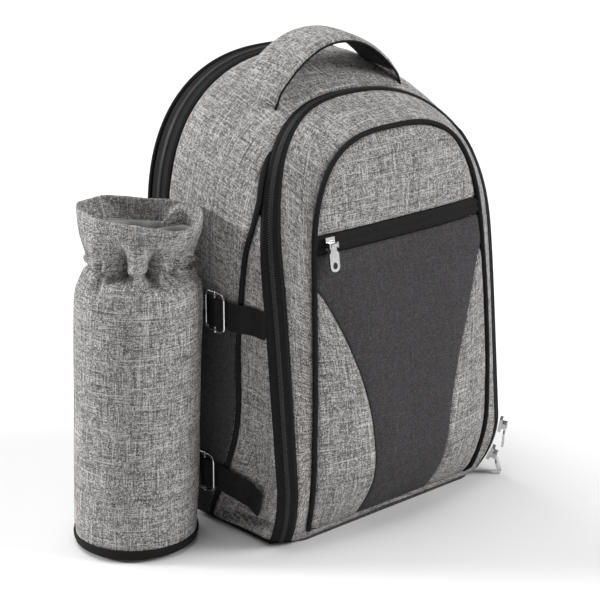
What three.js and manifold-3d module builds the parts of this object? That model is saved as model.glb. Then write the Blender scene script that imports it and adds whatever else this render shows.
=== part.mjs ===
// A cooler backpack with a gathered bottle holder strapped to its left side.
// Millimetres, +Z up, front face towards -Y, origin on the floor under the middle of the base.
import * as THREE from 'three';
import { mergeVertices } from 'three/addons/utils/BufferGeometryUtils.js';
import Module from 'manifold-3d';

const { Vector3, BufferGeometry, Float32BufferAttribute } = THREE;
const wasm = await Module();
wasm.setup();

// Bag
const BAG_WIDTH = 284;
const BAG_HEIGHT = 411;
const BAG_DEPTH = 184;
const REAR_EDGE_Y = 82;
const BODY_FULLNESS = 5;
const WEDGE_DRAW = 0.09;
const CLOTH = 2.2;
const SEAM_GAP = 0.35;
const BASE_THICKNESS = 3;
const BACK_PAD = 9;
const BACK_PAD_BEVEL = 10;

// Piping and zips
const PIPING_RADIUS = 2.4;
const TAPE = 1.2;
const COIL_WIDTH = 5.5;
const COIL_HEIGHT = 1.7;

// Front pocket
const FACE_CROWN = 14;
const FACE_BOTTOM = 13;
const FACE_CORNER = 12;
const FACE_FOOT_SHARE = 0.17;
const FACE_DIP = 0.75;
const FACE_DIP_HEIGHT = 0.77;
const FACE_DIP_REACH = 0.13;
const UPPER_PANEL_CORNER = 0.78;
const POCKET_ZIP_HEIGHT = 274;
const POCKET_ZIP_WIDTH = 15.5;
const DARK_PANEL_WIDTH = 92;

// Carry handle
const HANDLE_SPAN = 141;
const HANDLE_SHIFT = -3;
const HANDLE_WIDTH = 50;
const HANDLE_THICKNESS = 7;
const HANDLE_RISE = 35;
const HANDLE_Y = 6;
const HANDLE_LIFT = 1.9;
const HANDLE_TILT = 12;
const HANDLE_TOP_TILT = 0.45;
const HANDLE_POWER = 2.1;
const HANDLE_WEBBING_WIDTH = 40;
const BINDING_RADIUS = 1.6;

// Bottle holder
const HOLDER_HEIGHT = 297;
const HOLDER_RADIUS = 55;
const HOLDER_GAP = 0.6;
const HOLDER_Y = 21;
const HOLDER_LEAN = 7;
const HOLDER_WALL = 2;
const HOLDER_LIFT = 1;
const HOLDER_BINDING_HEIGHT = 11;
const HOLDER_BINDING_THICKNESS = 1.4;
const LINING_WALL = 1;
const LINING_HEIGHT = 268;
const LINING_LOW = 0.05;
const GATHERS = 9;
const HOLDER_OVAL_ANGLE = -41;

// Webbing and wire buckles of the bottle holder
const WEBBING_WIDTH = 26;
const WEBBING = 1.6;
const SIDE_PATCH = 1.2;
const SIDE_PATCH_HEIGHT = 229;
const SIDE_PATCH_BINDING = 11;
const SIDE_PATCH_REAR = 0.05;
const UPPER_STRAP_HEIGHT = 208;
const LOWER_STRAP_HEIGHT = 53;
const STRAP_FRONT = 0.84;
const BUCKLE_HEIGHT = 36;
const BUCKLE_LENGTH = 27;
const BUCKLE_WIRE = 1.2;
const FRAME_CORNER = 3.9;
const UPPER_BUCKLE_Y = -16;
const LOWER_BUCKLE_Y = 2;

// Zip sliders and pull tabs
const SLIDER_LENGTH = 13;
const SLIDER_WIDTH = 9.5;
const SLIDER_THICKNESS = 3;
const PIN_RADIUS = 0.9;
const PIN_CLEARANCE = 0.4;
const BARREL_RADIUS = 2.5;
const PULL_LENGTH = 23;
const PULL_WIDTH = 10;
const PULL_THICKNESS = 1.8;
const PULL_NECK = 2;
const PULL_SHOULDER = 3;
const WINDOW_WIDTH = 5;
const WINDOW_HEIGHT = 6.2;
const WINDOW_LIFT = 0.4;
const EAR_LENGTH = 5;
const EAR_THICKNESS = 1.4;
const EAR_TOP = 1;
const OVERLAP = 0.01;
const UPPER_SLIDER_HEIGHT = 50;
const LOWER_SLIDER_HEIGHT = 22;
const REAR_SLIDER_HEIGHT = 70;
const SIDE_PULL_LEAN = 4;
const LOWER_PULL_LEAN = 42;

// Shoulder straps
const SHOULDER_WIDTH = 62;
const SHOULDER_PAD = 11;
const SHOULDER_TOP = 372;
const SHOULDER_END = 150;
const SHOULDER_BOW = 30;
const SHOULDER_TOP_X = 38;
const SHOULDER_END_X = 92;
const SHOULDER_TAPER = 0.82;
const STRAP_WEBBING_WIDTH = 25;
const STRAP_FOOT_X = 112;
const STRAP_FOOT_HEIGHT = 26;
const STRAP_FOOT_LIFT = 0.3;
const ADJUSTER_LENGTH = 24;
const ADJUSTER_ROD = 1.8;
const ADJUSTER_PLACE = 0.3;
const ADJUSTER_MARGIN = 4;

// Sampling of the arch and the round pieces
const SIDE_RISES = [0, 0.05, 0.11, 0.2, 0.45, 0.72, 1];
const CROWN_STEPS = 14;
const HOLDER_STEPS = 32;
const SIDE_SHARE = 0.5;
const FACE_STEPS = 12;
const DARK_PANEL_STEPS = 8;
const SIDE_PANEL_STEPS = 3;
const ARCH_STEP = 0.004;
const BAND_STEP = 0.02;
const FACE_STEP = 10;
const SHOULDER_STEP = 0.01;
const LEAST_SLANT = 0.4;
const SLIVER = 2;

const BAG_CENTRE = new Vector3(0, 0, BAG_HEIGHT * 0.42);
const LOW = 2 * PIPING_RADIUS + 1.5 * SEAM_GAP;
const MITRE = SEAM_GAP + 0.5 * CLOTH;

// Rings round the bag from the rear edge to the front face. width and footIn are shares of the
// bag's width; height, leanFrom and footHeight of its height; spring of the ring's own height;
// belly, drift, lean and foot of the bag's depth. power is the roundness of the arch above the
// spring. The ring slants back evenly by drift and then bends over by lean towards its top.
const RINGS = {
  rearPiping: {
    width: 0.982, height: 0.992, spring: 0.645, power: 2.5, taper: 0, belly: -0.018, drift: 0,
    lean: 0, leanFrom: 0.15, leanPower: 2, foot: 0, footHeight: 0.15, footIn: 0.02,
  },
  rearEdge: {
    width: 0.986, height: 0.994, spring: 0.645, power: 2.5, taper: 0, belly: 0, drift: 0,
    lean: 0, leanFrom: 0.15, leanPower: 2, foot: 0, footHeight: 0.15, footIn: 0.02,
  },
  rearSeam: {
    width: 0.99, height: 0.996, spring: 0.645, power: 2.5, taper: 0, belly: 0.136, drift: 0,
    lean: 0, leanFrom: 0.15, leanPower: 2, foot: 0, footHeight: 0.15, footIn: 0.02,
  },
  frontSeam: {
    width: 0.985, height: 0.932, spring: 0.6, power: 2.5, taper: 0, belly: 0.929, drift: 0.165,
    lean: 0.21, leanFrom: 0.146, leanPower: 6, foot: 0.12, footHeight: 0.146, footIn: 0.03,
  },
  coverSeam: {
    width: 0.88, height: 0.927, spring: 0.656, power: 2.5, taper: 0, belly: 0.989, drift: 0.156,
    lean: 0.214, leanFrom: 0.146, leanPower: 6, foot: 0.109, footHeight: 0.146, footIn: 0.03,
  },
  face: {
    width: 0.77, height: 0.878, spring: 0.679, power: 3, taper: 0.14, belly: 1, drift: 0,
    lean: 0.109, leanFrom: 0.268, leanPower: 1.6, foot: 0.109, footHeight: 0.2, footIn: 0.03,
  },
};

// Where the piping on the side lies: reach is the share of the way from the rear zip to the
// front zip at each share of the bag's height.
const SIDE_PIPING = [
  { height: 0.0, reach: 0.36 },
  { height: 0.1, reach: 0.49 },
  { height: 0.25, reach: 0.665 },
  { height: 0.45, reach: 0.73 },
  { height: 0.63, reach: 0.85 },
  { height: 0.71, reach: 0.94 },
  { height: 0.79, reach: 1.0 },
];

// Half width of the dark panel at each share of the pocket zip's height, as a share of its waist.
const DARK_PANEL = [
  { height: 0.04, half: 0.96 },
  { height: 0.22, half: 0.98 },
  { height: 0.33, half: 1.03 },
  { height: 0.43, half: 1.13 },
  { height: 0.54, half: 1.31 },
  { height: 0.64, half: 1.53 },
  { height: 0.73, half: 1.76 },
  { height: 0.84, half: 2.09 },
  { height: 0.9, half: 2.35 },
];

// Bottle holder from floor to rim: height is a share of the holder's height, radius a share of
// its radius, gather the depth of the folds and oval the flattening, both shares of the radius.
const HOLDER_SECTIONS = [
  { height: 0.0, radius: 0.9, gather: 0, oval: 0 },
  { height: 0.01, radius: 0.955, gather: 0, oval: 0 },
  { height: 0.05, radius: 0.985, gather: 0, oval: 0 },
  { height: 0.4, radius: 0.992, gather: 0.007, oval: 0.02 },
  { height: 0.72, radius: 0.995, gather: 0.012, oval: 0.02 },
  { height: 0.785, radius: 0.97, gather: 0.025, oval: 0.02 },
  { height: 0.825, radius: 0.89, gather: 0.06, oval: 0.02 },
  { height: 0.852, radius: 0.795, gather: 0.08, oval: 0.03 },
  { height: 0.88, radius: 0.83, gather: 0.075, oval: 0.06 },
  { height: 0.92, radius: 0.93, gather: 0.05, oval: 0.12 },
  { height: 0.965, radius: 0.99, gather: 0.03, oval: 0.16 },
  { height: 1.0, radius: 0.985, gather: 0.02, oval: 0.18 },
];

const FINISH = {
  melange: { color: 0x8b8987, roughness: 0.92, metalness: 0 },
  charcoal: { color: 0x434244, roughness: 0.9, metalness: 0 },
  black: { color: 0x1c1c1c, roughness: 0.8, metalness: 0 },
  coil: { color: 0x242424, roughness: 0.55, metalness: 0 },
  lining: { color: 0x7d8083, roughness: 0.6, metalness: 0 },
  metal: { color: 0xc9c9cc, roughness: 0.25, metalness: 1 },
  plastic: { color: 0x1a1a1b, roughness: 0.45, metalness: 0 },
};

function lerp(a, b, t) {
  return a + (b - a) * t;
}

// Reads a column of a table between its rows, smoothly, at a place along its height column.
function readTable(rows, column, height) {
  const last = rows.length - 1;
  if (height <= rows[0].height) return rows[0][column];
  if (height >= rows[last].height) return rows[last][column];
  const row = rows.findIndex((entry, index) => index < last && height < rows[index + 1].height);
  const t = (height - rows[row].height) / (rows[row + 1].height - rows[row].height);
  const before = rows[Math.max(row - 1, 0)];
  const after = rows[Math.min(row + 2, last)];
  const span = rows[row + 1].height - rows[row].height;
  const slopeIn = (rows[row + 1][column] - before[column]) / (rows[row + 1].height - before.height);
  const slopeOut = (after[column] - rows[row][column]) / (after.height - rows[row].height);
  const t2 = t * t;
  const t3 = t2 * t;
  return (2 * t3 - 3 * t2 + 1) * rows[row][column] + (t3 - 2 * t2 + t) * span * slopeIn
    + (3 * t2 - 2 * t3) * rows[row + 1][column] + (t3 - t2) * span * slopeOut;
}

// Half width and depth of a ring at a height
function ringHalfWidth(ring, z) {
  const top = ring.height * BAG_HEIGHT;
  const low = Math.max(0, 1 - z / (ring.footHeight * BAG_HEIGHT));
  return 0.5 * BAG_WIDTH * ring.width * (1 - ring.taper * (z / top) ** 2)
    - ring.footIn * BAG_WIDTH * low ** 2;
}

function ringDepth(ring, z) {
  const top = ring.height * BAG_HEIGHT;
  const from = ring.leanFrom * BAG_HEIGHT;
  const rise = Math.max(0, (z - from) / (top - from));
  const low = Math.max(0, 1 - z / (ring.footHeight * BAG_HEIGHT));
  const back = ring.drift * rise + ring.lean * rise ** ring.leanPower;
  const share = ring.belly - back - ring.foot * low ** 2;
  return REAR_EDGE_Y - BAG_DEPTH * share;
}

// Point of a ring: u runs from -1, low on the left, over the top at 0 to 1, low on the right
function archPoint(ring, u, low = LOW) {
  const top = ring.height * BAG_HEIGHT;
  const spring = ring.spring * top;
  const a = Math.abs(u);
  let z = lerp(low, spring, (1 - a) / (1 - SIDE_SHARE));
  let narrowing = 1;
  if (a < SIDE_SHARE) {
    const angle = (1 - a / SIDE_SHARE) * Math.PI / 2;
    z = spring + (top - spring) * Math.sin(angle) ** (2 / ring.power);
    narrowing = Math.max(0, Math.cos(angle)) ** (2 / ring.power);
  }
  if (a === 0) narrowing = 0;
  return new Vector3(Math.sign(u) * ringHalfWidth(ring, z) * narrowing, ringDepth(ring, z), z);
}

function archSteps(from = -1, to = 1) {
  const side = SIDE_RISES.map((rise) => 1 - (1 - SIDE_SHARE) * rise);
  const steps = side.map((u) => -u);
  for (let i = 1; i < CROWN_STEPS; i += 1) {
    steps.push(-SIDE_SHARE + 2 * SIDE_SHARE * i / CROWN_STEPS);
  }
  steps.push(...side.reverse());
  return steps.filter((u) => u >= from - 1e-9 && u <= to + 1e-9);
}

// Closed outline of a ring: the arch, two rounded bottom corners and the bottom run
function closedOutline(ring, bottom, corner) {
  const outline = archSteps().map((u) => archPoint(ring, u, bottom + corner));
  const last = outline[outline.length - 1];
  const cornerSteps = 3;
  const runSteps = 6;
  const half = last.x - corner;
  const underside = [];
  for (let i = 1; i <= cornerSteps; i += 1) {
    const angle = Math.PI / 2 * i / cornerSteps;
    const z = bottom + corner * (1 - Math.sin(angle));
    underside.push(new Vector3(half + corner * Math.cos(angle), ringDepth(ring, z), z));
  }
  for (let i = 1; i < runSteps; i += 1) {
    underside.push(new Vector3(lerp(half, -half, i / runSteps), ringDepth(ring, bottom), bottom));
  }
  for (let i = cornerSteps; i >= 1; i -= 1) {
    const angle = Math.PI / 2 * i / cornerSteps;
    const z = bottom + corner * (1 - Math.sin(angle));
    underside.push(new Vector3(-half - corner * Math.cos(angle), ringDepth(ring, z), z));
  }
  return outline.concat(underside);
}

// Point of the main body between the rear seam and the front seam
function bodyPoint(u, reach) {
  const rear = archPoint(RINGS.rearSeam, u);
  const front = archPoint(RINGS.frontSeam, u);
  const point = rear.clone().lerp(front, reach);
  const crown = 1 - Math.min(1, Math.abs(u) / SIDE_SHARE);
  const outward = new Vector3(Math.sign(u) * (1 - crown), 0, crown).normalize();
  const fullness = BODY_FULLNESS * (0.3 + 0.7 * Math.min(1, 2 * crown));
  return point.addScaledVector(outward, fullness * 4 * reach * (1 - reach));
}

function pipingReach(u) {
  const rear = archPoint(RINGS.rearSeam, u);
  const front = archPoint(RINGS.frontSeam, u);
  const clear = PIPING_RADIUS + 2 * SEAM_GAP;
  const most = 1 - clear / rear.distanceTo(front);
  return Math.min(most, readTable(SIDE_PIPING, 'reach', front.z / BAG_HEIGHT));
}

// Height along the arch, found by halving
function stepAtHeight(ring, z) {
  let low = 0;
  let high = 1;
  for (let i = 0; i < 40; i += 1) {
    const middle = (low + high) / 2;
    if (archPoint(ring, middle).z > z) low = middle;
    else high = middle;
  }
  return (low + high) / 2;
}

function stepAtHalfWidth(half, reach) {
  let low = 0;
  let high = SIDE_SHARE;
  for (let i = 0; i < 40; i += 1) {
    const middle = (low + high) / 2;
    if (bodyPoint(middle, reach).x < half) low = middle;
    else high = middle;
  }
  return (low + high) / 2;
}

// Closed solids from points and faces, always facing outwards
function solid(points, faces) {
  let volume = 0;
  for (const [a, b, c] of faces) {
    volume += points[a].dot(new Vector3().crossVectors(points[b], points[c]));
  }
  const index = volume > 0 ? faces.flat() : faces.map(([a, b, c]) => [a, c, b]).flat();
  const geometry = new BufferGeometry();
  const flat = points.flatMap((point) => point.toArray());
  geometry.setAttribute('position', new Float32BufferAttribute(flat, 3));
  geometry.setIndex(index);
  return geometry;
}

function gridNormals(rows, around, centre) {
  const rowCount = rows.length;
  const count = rows[0].length;
  return rows.map((row, j) => row.map((point, i) => {
    const before = around ? (i + count - 1) % count : Math.max(i - 1, 0);
    const after = around ? (i + 1) % count : Math.min(i + 1, count - 1);
    const along = row[after].clone().sub(row[before]);
    const across = rows[Math.min(j + 1, rowCount - 1)][i].clone().sub(rows[Math.max(j - 1, 0)][i]);
    const normal = along.cross(across).normalize();
    return normal.dot(point.clone().sub(centre)) < 0 ? normal.negate() : normal;
  }));
}

// A sheet of cloth laid on a grid of points, with its wall inside the grid and its face lifted
function sheet(rows, wall, lift = 0, around = false, centre = BAG_CENTRE) {
  const count = rows[0].length;
  const normals = gridNormals(rows, around, centre);
  const outer = rows.map((row, j) => row.map((p, i) => (
    p.clone().addScaledVector(normals[j][i], lift))));
  const inner = rows.map((row, j) => row.map((p, i) => (
    p.clone().addScaledVector(normals[j][i], lift - wall))));
  const points = outer.flat().concat(inner.flat());
  const shift = outer.length * count;
  const faces = [];
  const quad = (a, b, c, d) => faces.push([a, b, c], [a, c, d]);
  const spans = around ? count : count - 1;
  for (let j = 0; j < rows.length - 1; j += 1) {
    for (let i = 0; i < spans; i += 1) {
      const a = j * count + i;
      const b = j * count + (i + 1) % count;
      quad(a, b, b + count, a + count);
      quad(a + shift, a + count + shift, b + count + shift, b + shift);
    }
    if (!around) {
      const a = j * count;
      const b = a + count - 1;
      quad(a, a + count, a + count + shift, a + shift);
      quad(b + shift, b + count + shift, b + count, b);
    }
  }
  const top = (rows.length - 1) * count;
  for (let i = 0; i < spans; i += 1) {
    const next = (i + 1) % count;
    quad(i + shift, next + shift, next, i);
    quad(top + i, top + next, top + next + shift, top + i + shift);
  }
  return solid(points, faces);
}

// A solid through a row of closed sections, closed at its ends by fans round their middles
function loft(sections) {
  const count = sections[0].length;
  const points = sections.flat();
  const faces = [];
  for (let j = 0; j < sections.length - 1; j += 1) {
    for (let i = 0; i < count; i += 1) {
      const a = j * count + i;
      const b = j * count + (i + 1) % count;
      faces.push([a, b, b + count], [a, b + count, a + count]);
    }
  }
  const middle = (section) => section.reduce((sum, p) => sum.add(p), new Vector3())
    .divideScalar(section.length);
  const first = points.length;
  points.push(middle(sections[0]), middle(sections[sections.length - 1]));
  const end = (sections.length - 1) * count;
  for (let i = 0; i < count; i += 1) {
    const next = (i + 1) % count;
    faces.push([first, next, i], [first + 1, end + i, end + next]);
  }
  return solid(points, faces);
}

// A path through given points with one step from each to the next
class SeamPath extends THREE.Curve {
  constructor(points) {
    super();
    this.points = points;
  }

  getPoint(t, target = new Vector3()) {
    const place = Math.min(Math.max(t, 0), 1) * (this.points.length - 1);
    const index = Math.min(Math.floor(place), this.points.length - 2);
    return target.copy(this.points[index]).lerp(this.points[index + 1], place - index);
  }

  getUtoTmapping(u) {
    return u;
  }
}

function tube(points, radius, sides = 6) {
  const section = new THREE.Shape();
  for (let i = 0; i < sides; i += 1) {
    const angle = 2 * Math.PI * i / sides;
    const x = radius * Math.cos(angle);
    const y = radius * Math.sin(angle);
    if (i === 0) section.moveTo(x, y);
    else section.lineTo(x, y);
  }
  section.closePath();
  return new THREE.ExtrudeGeometry(section, {
    steps: points.length - 1, bevelEnabled: false, extrudePath: new SeamPath(points),
  });
}

// A ring of piping has its joint, with a small gap, halfway along the closed outline's start
function ringTube(outline, radius, sides = 6) {
  const start = outline[0].clone().lerp(outline[outline.length - 1], 0.5);
  const towards = outline[0].clone().sub(start).normalize();
  const first = start.clone().addScaledVector(towards, SEAM_GAP);
  return tube([first, ...outline, start], radius, sides);
}

function toManifold(geometry) {
  const bare = geometry.clone();
  bare.deleteAttribute('normal');
  bare.deleteAttribute('uv');
  const merged = mergeVertices(bare, 1e-4);
  return new wasm.Manifold(new wasm.Mesh({
    numProp: 3,
    vertProperties: new Float32Array(merged.attributes.position.array),
    triVerts: new Uint32Array(merged.index.array),
  }));
}

function fromManifold(manifold) {
  const mesh = manifold.getMesh();
  const geometry = new BufferGeometry();
  geometry.setAttribute('position', new THREE.BufferAttribute(mesh.vertProperties, 3));
  geometry.setIndex(new THREE.BufferAttribute(mesh.triVerts, 1));
  return geometry;
}

const backpack = new THREE.Group();

function addPiece(name, geometry, finish, parent = backpack) {
  const mesh = new THREE.Mesh(geometry, new THREE.MeshStandardMaterial(FINISH[finish]));
  mesh.name = name;
  parent.add(mesh);
  return mesh;
}

// How far along a slanted row a point lies when it keeps a distance from the seam it leaves
function slantedClearance(seam, index, towards, distance) {
  const before = seam[Math.max(index - 1, 0)];
  const after = seam[Math.min(index + 1, seam.length - 1)];
  const along = after.clone().sub(before).normalize();
  const row = towards.clone().sub(seam[index]).normalize();
  return distance / Math.max(LEAST_SLANT, along.cross(row).length());
}

// Rows of points between two seams, kept clear of each by a distance
function rowsBetween(first, second, clearFirst, clearSecond, count) {
  const rows = [];
  for (let j = 0; j <= count; j += 1) {
    rows.push(first.map((start, i) => {
      const length = start.distanceTo(second[i]);
      const near = slantedClearance(first, i, second[i], clearFirst) / length;
      const far = 1 - slantedClearance(second, i, start, clearSecond) / length;
      return start.clone().lerp(second[i], lerp(near, far, j / count));
    }));
  }
  return rows;
}

function zipBand(name, first, second, clearFirst, clearSecond) {
  addPiece(`${name}_tape`, sheet(rowsBetween(first, second, clearFirst, clearSecond, 2), TAPE),
    'black');
  const lengths = first.map((point, i) => point.distanceTo(second[i]));
  const rows = [-1, 1].map((side) => first.map((point, i) => (
    point.clone().lerp(second[i], 0.5 + side * 0.5 * COIL_WIDTH / lengths[i]))));
  addPiece(`${name}_coil`, sheet(rows, COIL_HEIGHT, COIL_HEIGHT + SEAM_GAP), 'coil');
}

// Back panel, rear piping and the rear zip
function addRear() {
  const steps = archSteps();
  const ring = RINGS.rearPiping;
  const seam = steps.map((u) => archPoint(ring, u));
  addPiece('rear_piping', tube(seam, PIPING_RADIUS), 'black');
  const clear = PIPING_RADIUS + SEAM_GAP;
  const outline = (inset, y) => seam.map((point, i) => {
    const before = seam[Math.max(i - 1, 0)];
    const after = seam[Math.min(i + 1, seam.length - 1)];
    const along = after.clone().sub(before).normalize();
    const inward = new Vector3(along.z, 0, -along.x).negate();
    if (inward.dot(new Vector3(-point.x, 0, BAG_CENTRE.z - point.z)) < 0) inward.negate();
    const placed = point.clone().addScaledVector(inward, inset);
    const lift = i === 0 || i === seam.length - 1 ? inset - clear : 0;
    return placed.setY(y).setZ(Math.max(placed.z + lift, LOW));
  });
  const flat = REAR_EDGE_Y;
  addPiece('back_panel', loft([
    outline(clear, flat),
    outline(clear, flat + 0.55 * BACK_PAD),
    outline(clear + 0.4 * BACK_PAD_BEVEL, flat + 0.9 * BACK_PAD),
    outline(clear + BACK_PAD_BEVEL, flat + BACK_PAD),
  ]), 'black');
  const edge = steps.map((u) => archPoint(RINGS.rearEdge, u));
  const rearSeam = steps.map((u) => archPoint(RINGS.rearSeam, u));
  zipBand('rear_zip', edge, rearSeam, SEAM_GAP, SEAM_GAP);
}

// Main gusset from the rear zip to the piping on the sides and over the top
function addBody() {
  const steps = archSteps();
  const rows = [];
  const rowSteps = 3;
  for (let j = 0; j <= rowSteps; j += 1) {
    rows.push(steps.map((u) => {
      const length = bodyPoint(u, 0).distanceTo(bodyPoint(u, 1));
      const end = pipingReach(u) - (PIPING_RADIUS + SEAM_GAP) / length;
      return bodyPoint(u, lerp(SEAM_GAP / length, end, j / rowSteps));
    }));
  }
  addPiece('main_gusset', sheet(rows, CLOTH), 'melange');
  const piping = steps.map((u) => bodyPoint(u, pipingReach(u)));
  addPiece('side_piping', tube(piping, PIPING_RADIUS), 'black');
}

// Wedge of cloth between the side piping and the front zip, which draws in at its middle
function wedgePoint(side, u, share) {
  const length = bodyPoint(u, 0).distanceTo(bodyPoint(u, 1));
  const start = pipingReach(u) + (PIPING_RADIUS + 2 * SEAM_GAP) / length;
  const point = bodyPoint(side * u, lerp(start, 1 - MITRE / length, share));
  const draw = WEDGE_DRAW * (1 - start) * length * Math.sin(Math.PI * share);
  return point.addScaledVector(new Vector3(-side, 0, 0), draw);
}

function addWedges() {
  const least = PIPING_RADIUS + 2 * SEAM_GAP + SLIVER;
  for (const [name, side] of [['left', -1], ['right', 1]]) {
    const steps = archSteps(SIDE_SHARE * 0.4, 1).filter((u) => (
      (1 - pipingReach(u)) * bodyPoint(u, 0).distanceTo(bodyPoint(u, 1)) > least));
    const rows = [0, 1, 2, 3].map((j) => steps.map((u) => wedgePoint(side, u, j / 3)));
    addPiece(`wedge_panel_${name}`, sheet(rows, CLOTH), 'melange');
  }
}

// Front zip, front gusset and the piping round the front face
function addCover() {
  const steps = archSteps();
  const front = steps.map((u) => archPoint(RINGS.frontSeam, u));
  const cover = steps.map((u) => archPoint(RINGS.coverSeam, u));
  zipBand('front_zip', front, cover, SEAM_GAP, SEAM_GAP);
  const low = BASE_THICKNESS + SEAM_GAP;
  const outer = closedOutline(RINGS.coverSeam, low, LOW - low);
  const inner = closedOutline(RINGS.face, FACE_BOTTOM, FACE_CORNER);
  const rows = rowsBetween(outer, inner, MITRE, PIPING_RADIUS + SEAM_GAP, 2);
  addPiece('front_gusset', sheet(rows, CLOTH, 0, true), 'melange');
  addPiece('front_piping', ringTube(inner, PIPING_RADIUS), 'black');
}

// Outline of the front face inside its piping, as a half width at a height
function faceHalfWidth(z) {
  const ring = RINGS.face;
  const top = ring.height * BAG_HEIGHT;
  const spring = ring.spring * top;
  const rise = Math.min(1, Math.max(0, (z - spring) / (top - spring)));
  const narrowing = (1 - rise ** ring.power) ** (1 / ring.power);
  const cornerRise = Math.max(0, 1 - (z - FACE_BOTTOM) / FACE_CORNER);
  const corner = FACE_CORNER * (1 - Math.sqrt(Math.max(0, 1 - cornerRise ** 2)));
  return ringHalfWidth(ring, z) * narrowing - corner;
}

// Depth of the crowned face: the ring's own depth, with a fullness that fades to the piping
function faceDepth(x, z) {
  const ring = RINGS.face;
  const top = ring.height * BAG_HEIGHT;
  const spring = ring.spring * top;
  const rise = Math.max(0, (z - spring) / (top - spring));
  const across = Math.min(1, Math.abs(x) / ringHalfWidth(ring, z));
  const full = Math.max(0, 1 - across ** ring.power - rise ** ring.power);
  const share = z / top;
  const foot = Math.min(1, Math.max(0, (z - FACE_BOTTOM) / (FACE_FOOT_SHARE * top)));
  const away = (share - FACE_DIP_HEIGHT) / FACE_DIP_REACH;
  const upper = 1 - FACE_DIP * Math.exp(-(away ** 2));
  return ringDepth(ring, z) - FACE_CROWN * full * Math.sin(foot * Math.PI / 2) * upper;
}

function facePoint(x, z) {
  return new Vector3(x, faceDepth(x, z), z);
}

function darkHalfWidth(z) {
  return 0.5 * DARK_PANEL_WIDTH * readTable(DARK_PANEL, 'half', z / POCKET_ZIP_HEIGHT);
}

function addFace() {
  const clear = PIPING_RADIUS + 2 * SEAM_GAP;
  const zipLow = POCKET_ZIP_HEIGHT - 0.5 * POCKET_ZIP_WIDTH;
  const zipHigh = POCKET_ZIP_HEIGHT + 0.5 * POCKET_ZIP_WIDTH;
  const inside = (z) => faceHalfWidth(z) - clear;
  const ring = RINGS.face;

  const cornerZ = lerp(zipHigh, ring.height * BAG_HEIGHT, UPPER_PANEL_CORNER);
  const corner = stepAtHeight(ring, cornerZ);
  const zipStep = stepAtHeight(ring, zipHigh + SEAM_GAP);
  const inset = (u) => {
    const point = archPoint(ring, u);
    const ahead = archPoint(ring, u + ARCH_STEP);
    const behind = archPoint(ring, u - ARCH_STEP);
    const along = ahead.sub(behind).setY(0).normalize();
    return point.add(new Vector3(along.z, 0, -along.x).multiplyScalar(clear));
  };
  const sideCount = 4;
  const topCount = FACE_STEPS;
  const left = [];
  const right = [];
  for (let j = 0; j <= sideCount; j += 1) {
    const u = lerp(zipStep, corner, j / sideCount);
    right.push(inset(u));
    left.push(right[j].clone().setX(-right[j].x));
  }
  right[0].setZ(zipHigh + SEAM_GAP);
  left[0].setZ(zipHigh + SEAM_GAP);
  const rows = [];
  for (let j = 0; j <= sideCount; j += 1) {
    rows.push([]);
    for (let i = 0; i <= topCount; i += 1) {
      const a = i / topCount;
      const b = j / sideCount;
      const over = i === 0 ? left[sideCount] : inset(lerp(-corner, corner, a));
      const crest = i === topCount ? right[sideCount] : over;
      const baseX = lerp(left[0].x, right[0].x, a);
      const x = lerp(left[j].x, right[j].x, a) + lerp(baseX, crest.x, b)
        - lerp(lerp(left[0].x, right[0].x, a), lerp(left[sideCount].x, right[sideCount].x, a), b);
      const z = lerp(left[j].z, right[j].z, a) + lerp(left[0].z, crest.z, b)
        - lerp(left[0].z, left[sideCount].z, b);
      rows[j].push(facePoint(x, z));
    }
  }
  addPiece('pocket_upper_panel', sheet(rows, CLOTH), 'melange');

  const zipRow = (z) => {
    const row = [];
    for (let i = 0; i <= topCount; i += 1) {
      row.push(facePoint(lerp(-inside(z), inside(z), i / topCount), z));
    }
    return row;
  };
  zipBand('pocket_zip', zipRow(zipLow), zipRow(zipHigh), 0, 0);

  const low = FACE_BOTTOM + clear;
  const darkTop = zipLow - SEAM_GAP;
  let meets = low;
  while (inside(meets) - darkHalfWidth(meets) > SLIVER && meets < darkTop) meets += 0.5;
  const darkSteps = 11;
  const heights = [];
  for (let j = 0; j <= darkSteps; j += 1) heights.push(lerp(low, darkTop, j / darkSteps));
  const nearest = heights.findIndex((z) => z > meets);
  heights.splice(nearest, 0, meets);
  const row = (from, to, z, count) => {
    const points = [];
    for (let i = 0; i <= count; i += 1) points.push(facePoint(lerp(from, to, i / count), z));
    return points;
  };
  const darkRows = heights.map((z) => {
    const half = Math.min(inside(z), darkHalfWidth(z));
    return row(-half, half, z, DARK_PANEL_STEPS);
  });
  addPiece('pocket_dark_panel', sheet(darkRows, CLOTH), 'charcoal');
  for (const [name, side] of [['left', -1], ['right', 1]]) {
    const sideRows = heights.filter((z) => z <= meets).map((z) => (
      row(side * (darkHalfWidth(z) + SEAM_GAP), side * inside(z), z, SIDE_PANEL_STEPS)));
    addPiece(`pocket_side_panel_${name}`, sheet(sideRows, CLOTH), 'melange');
  }
}

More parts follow.
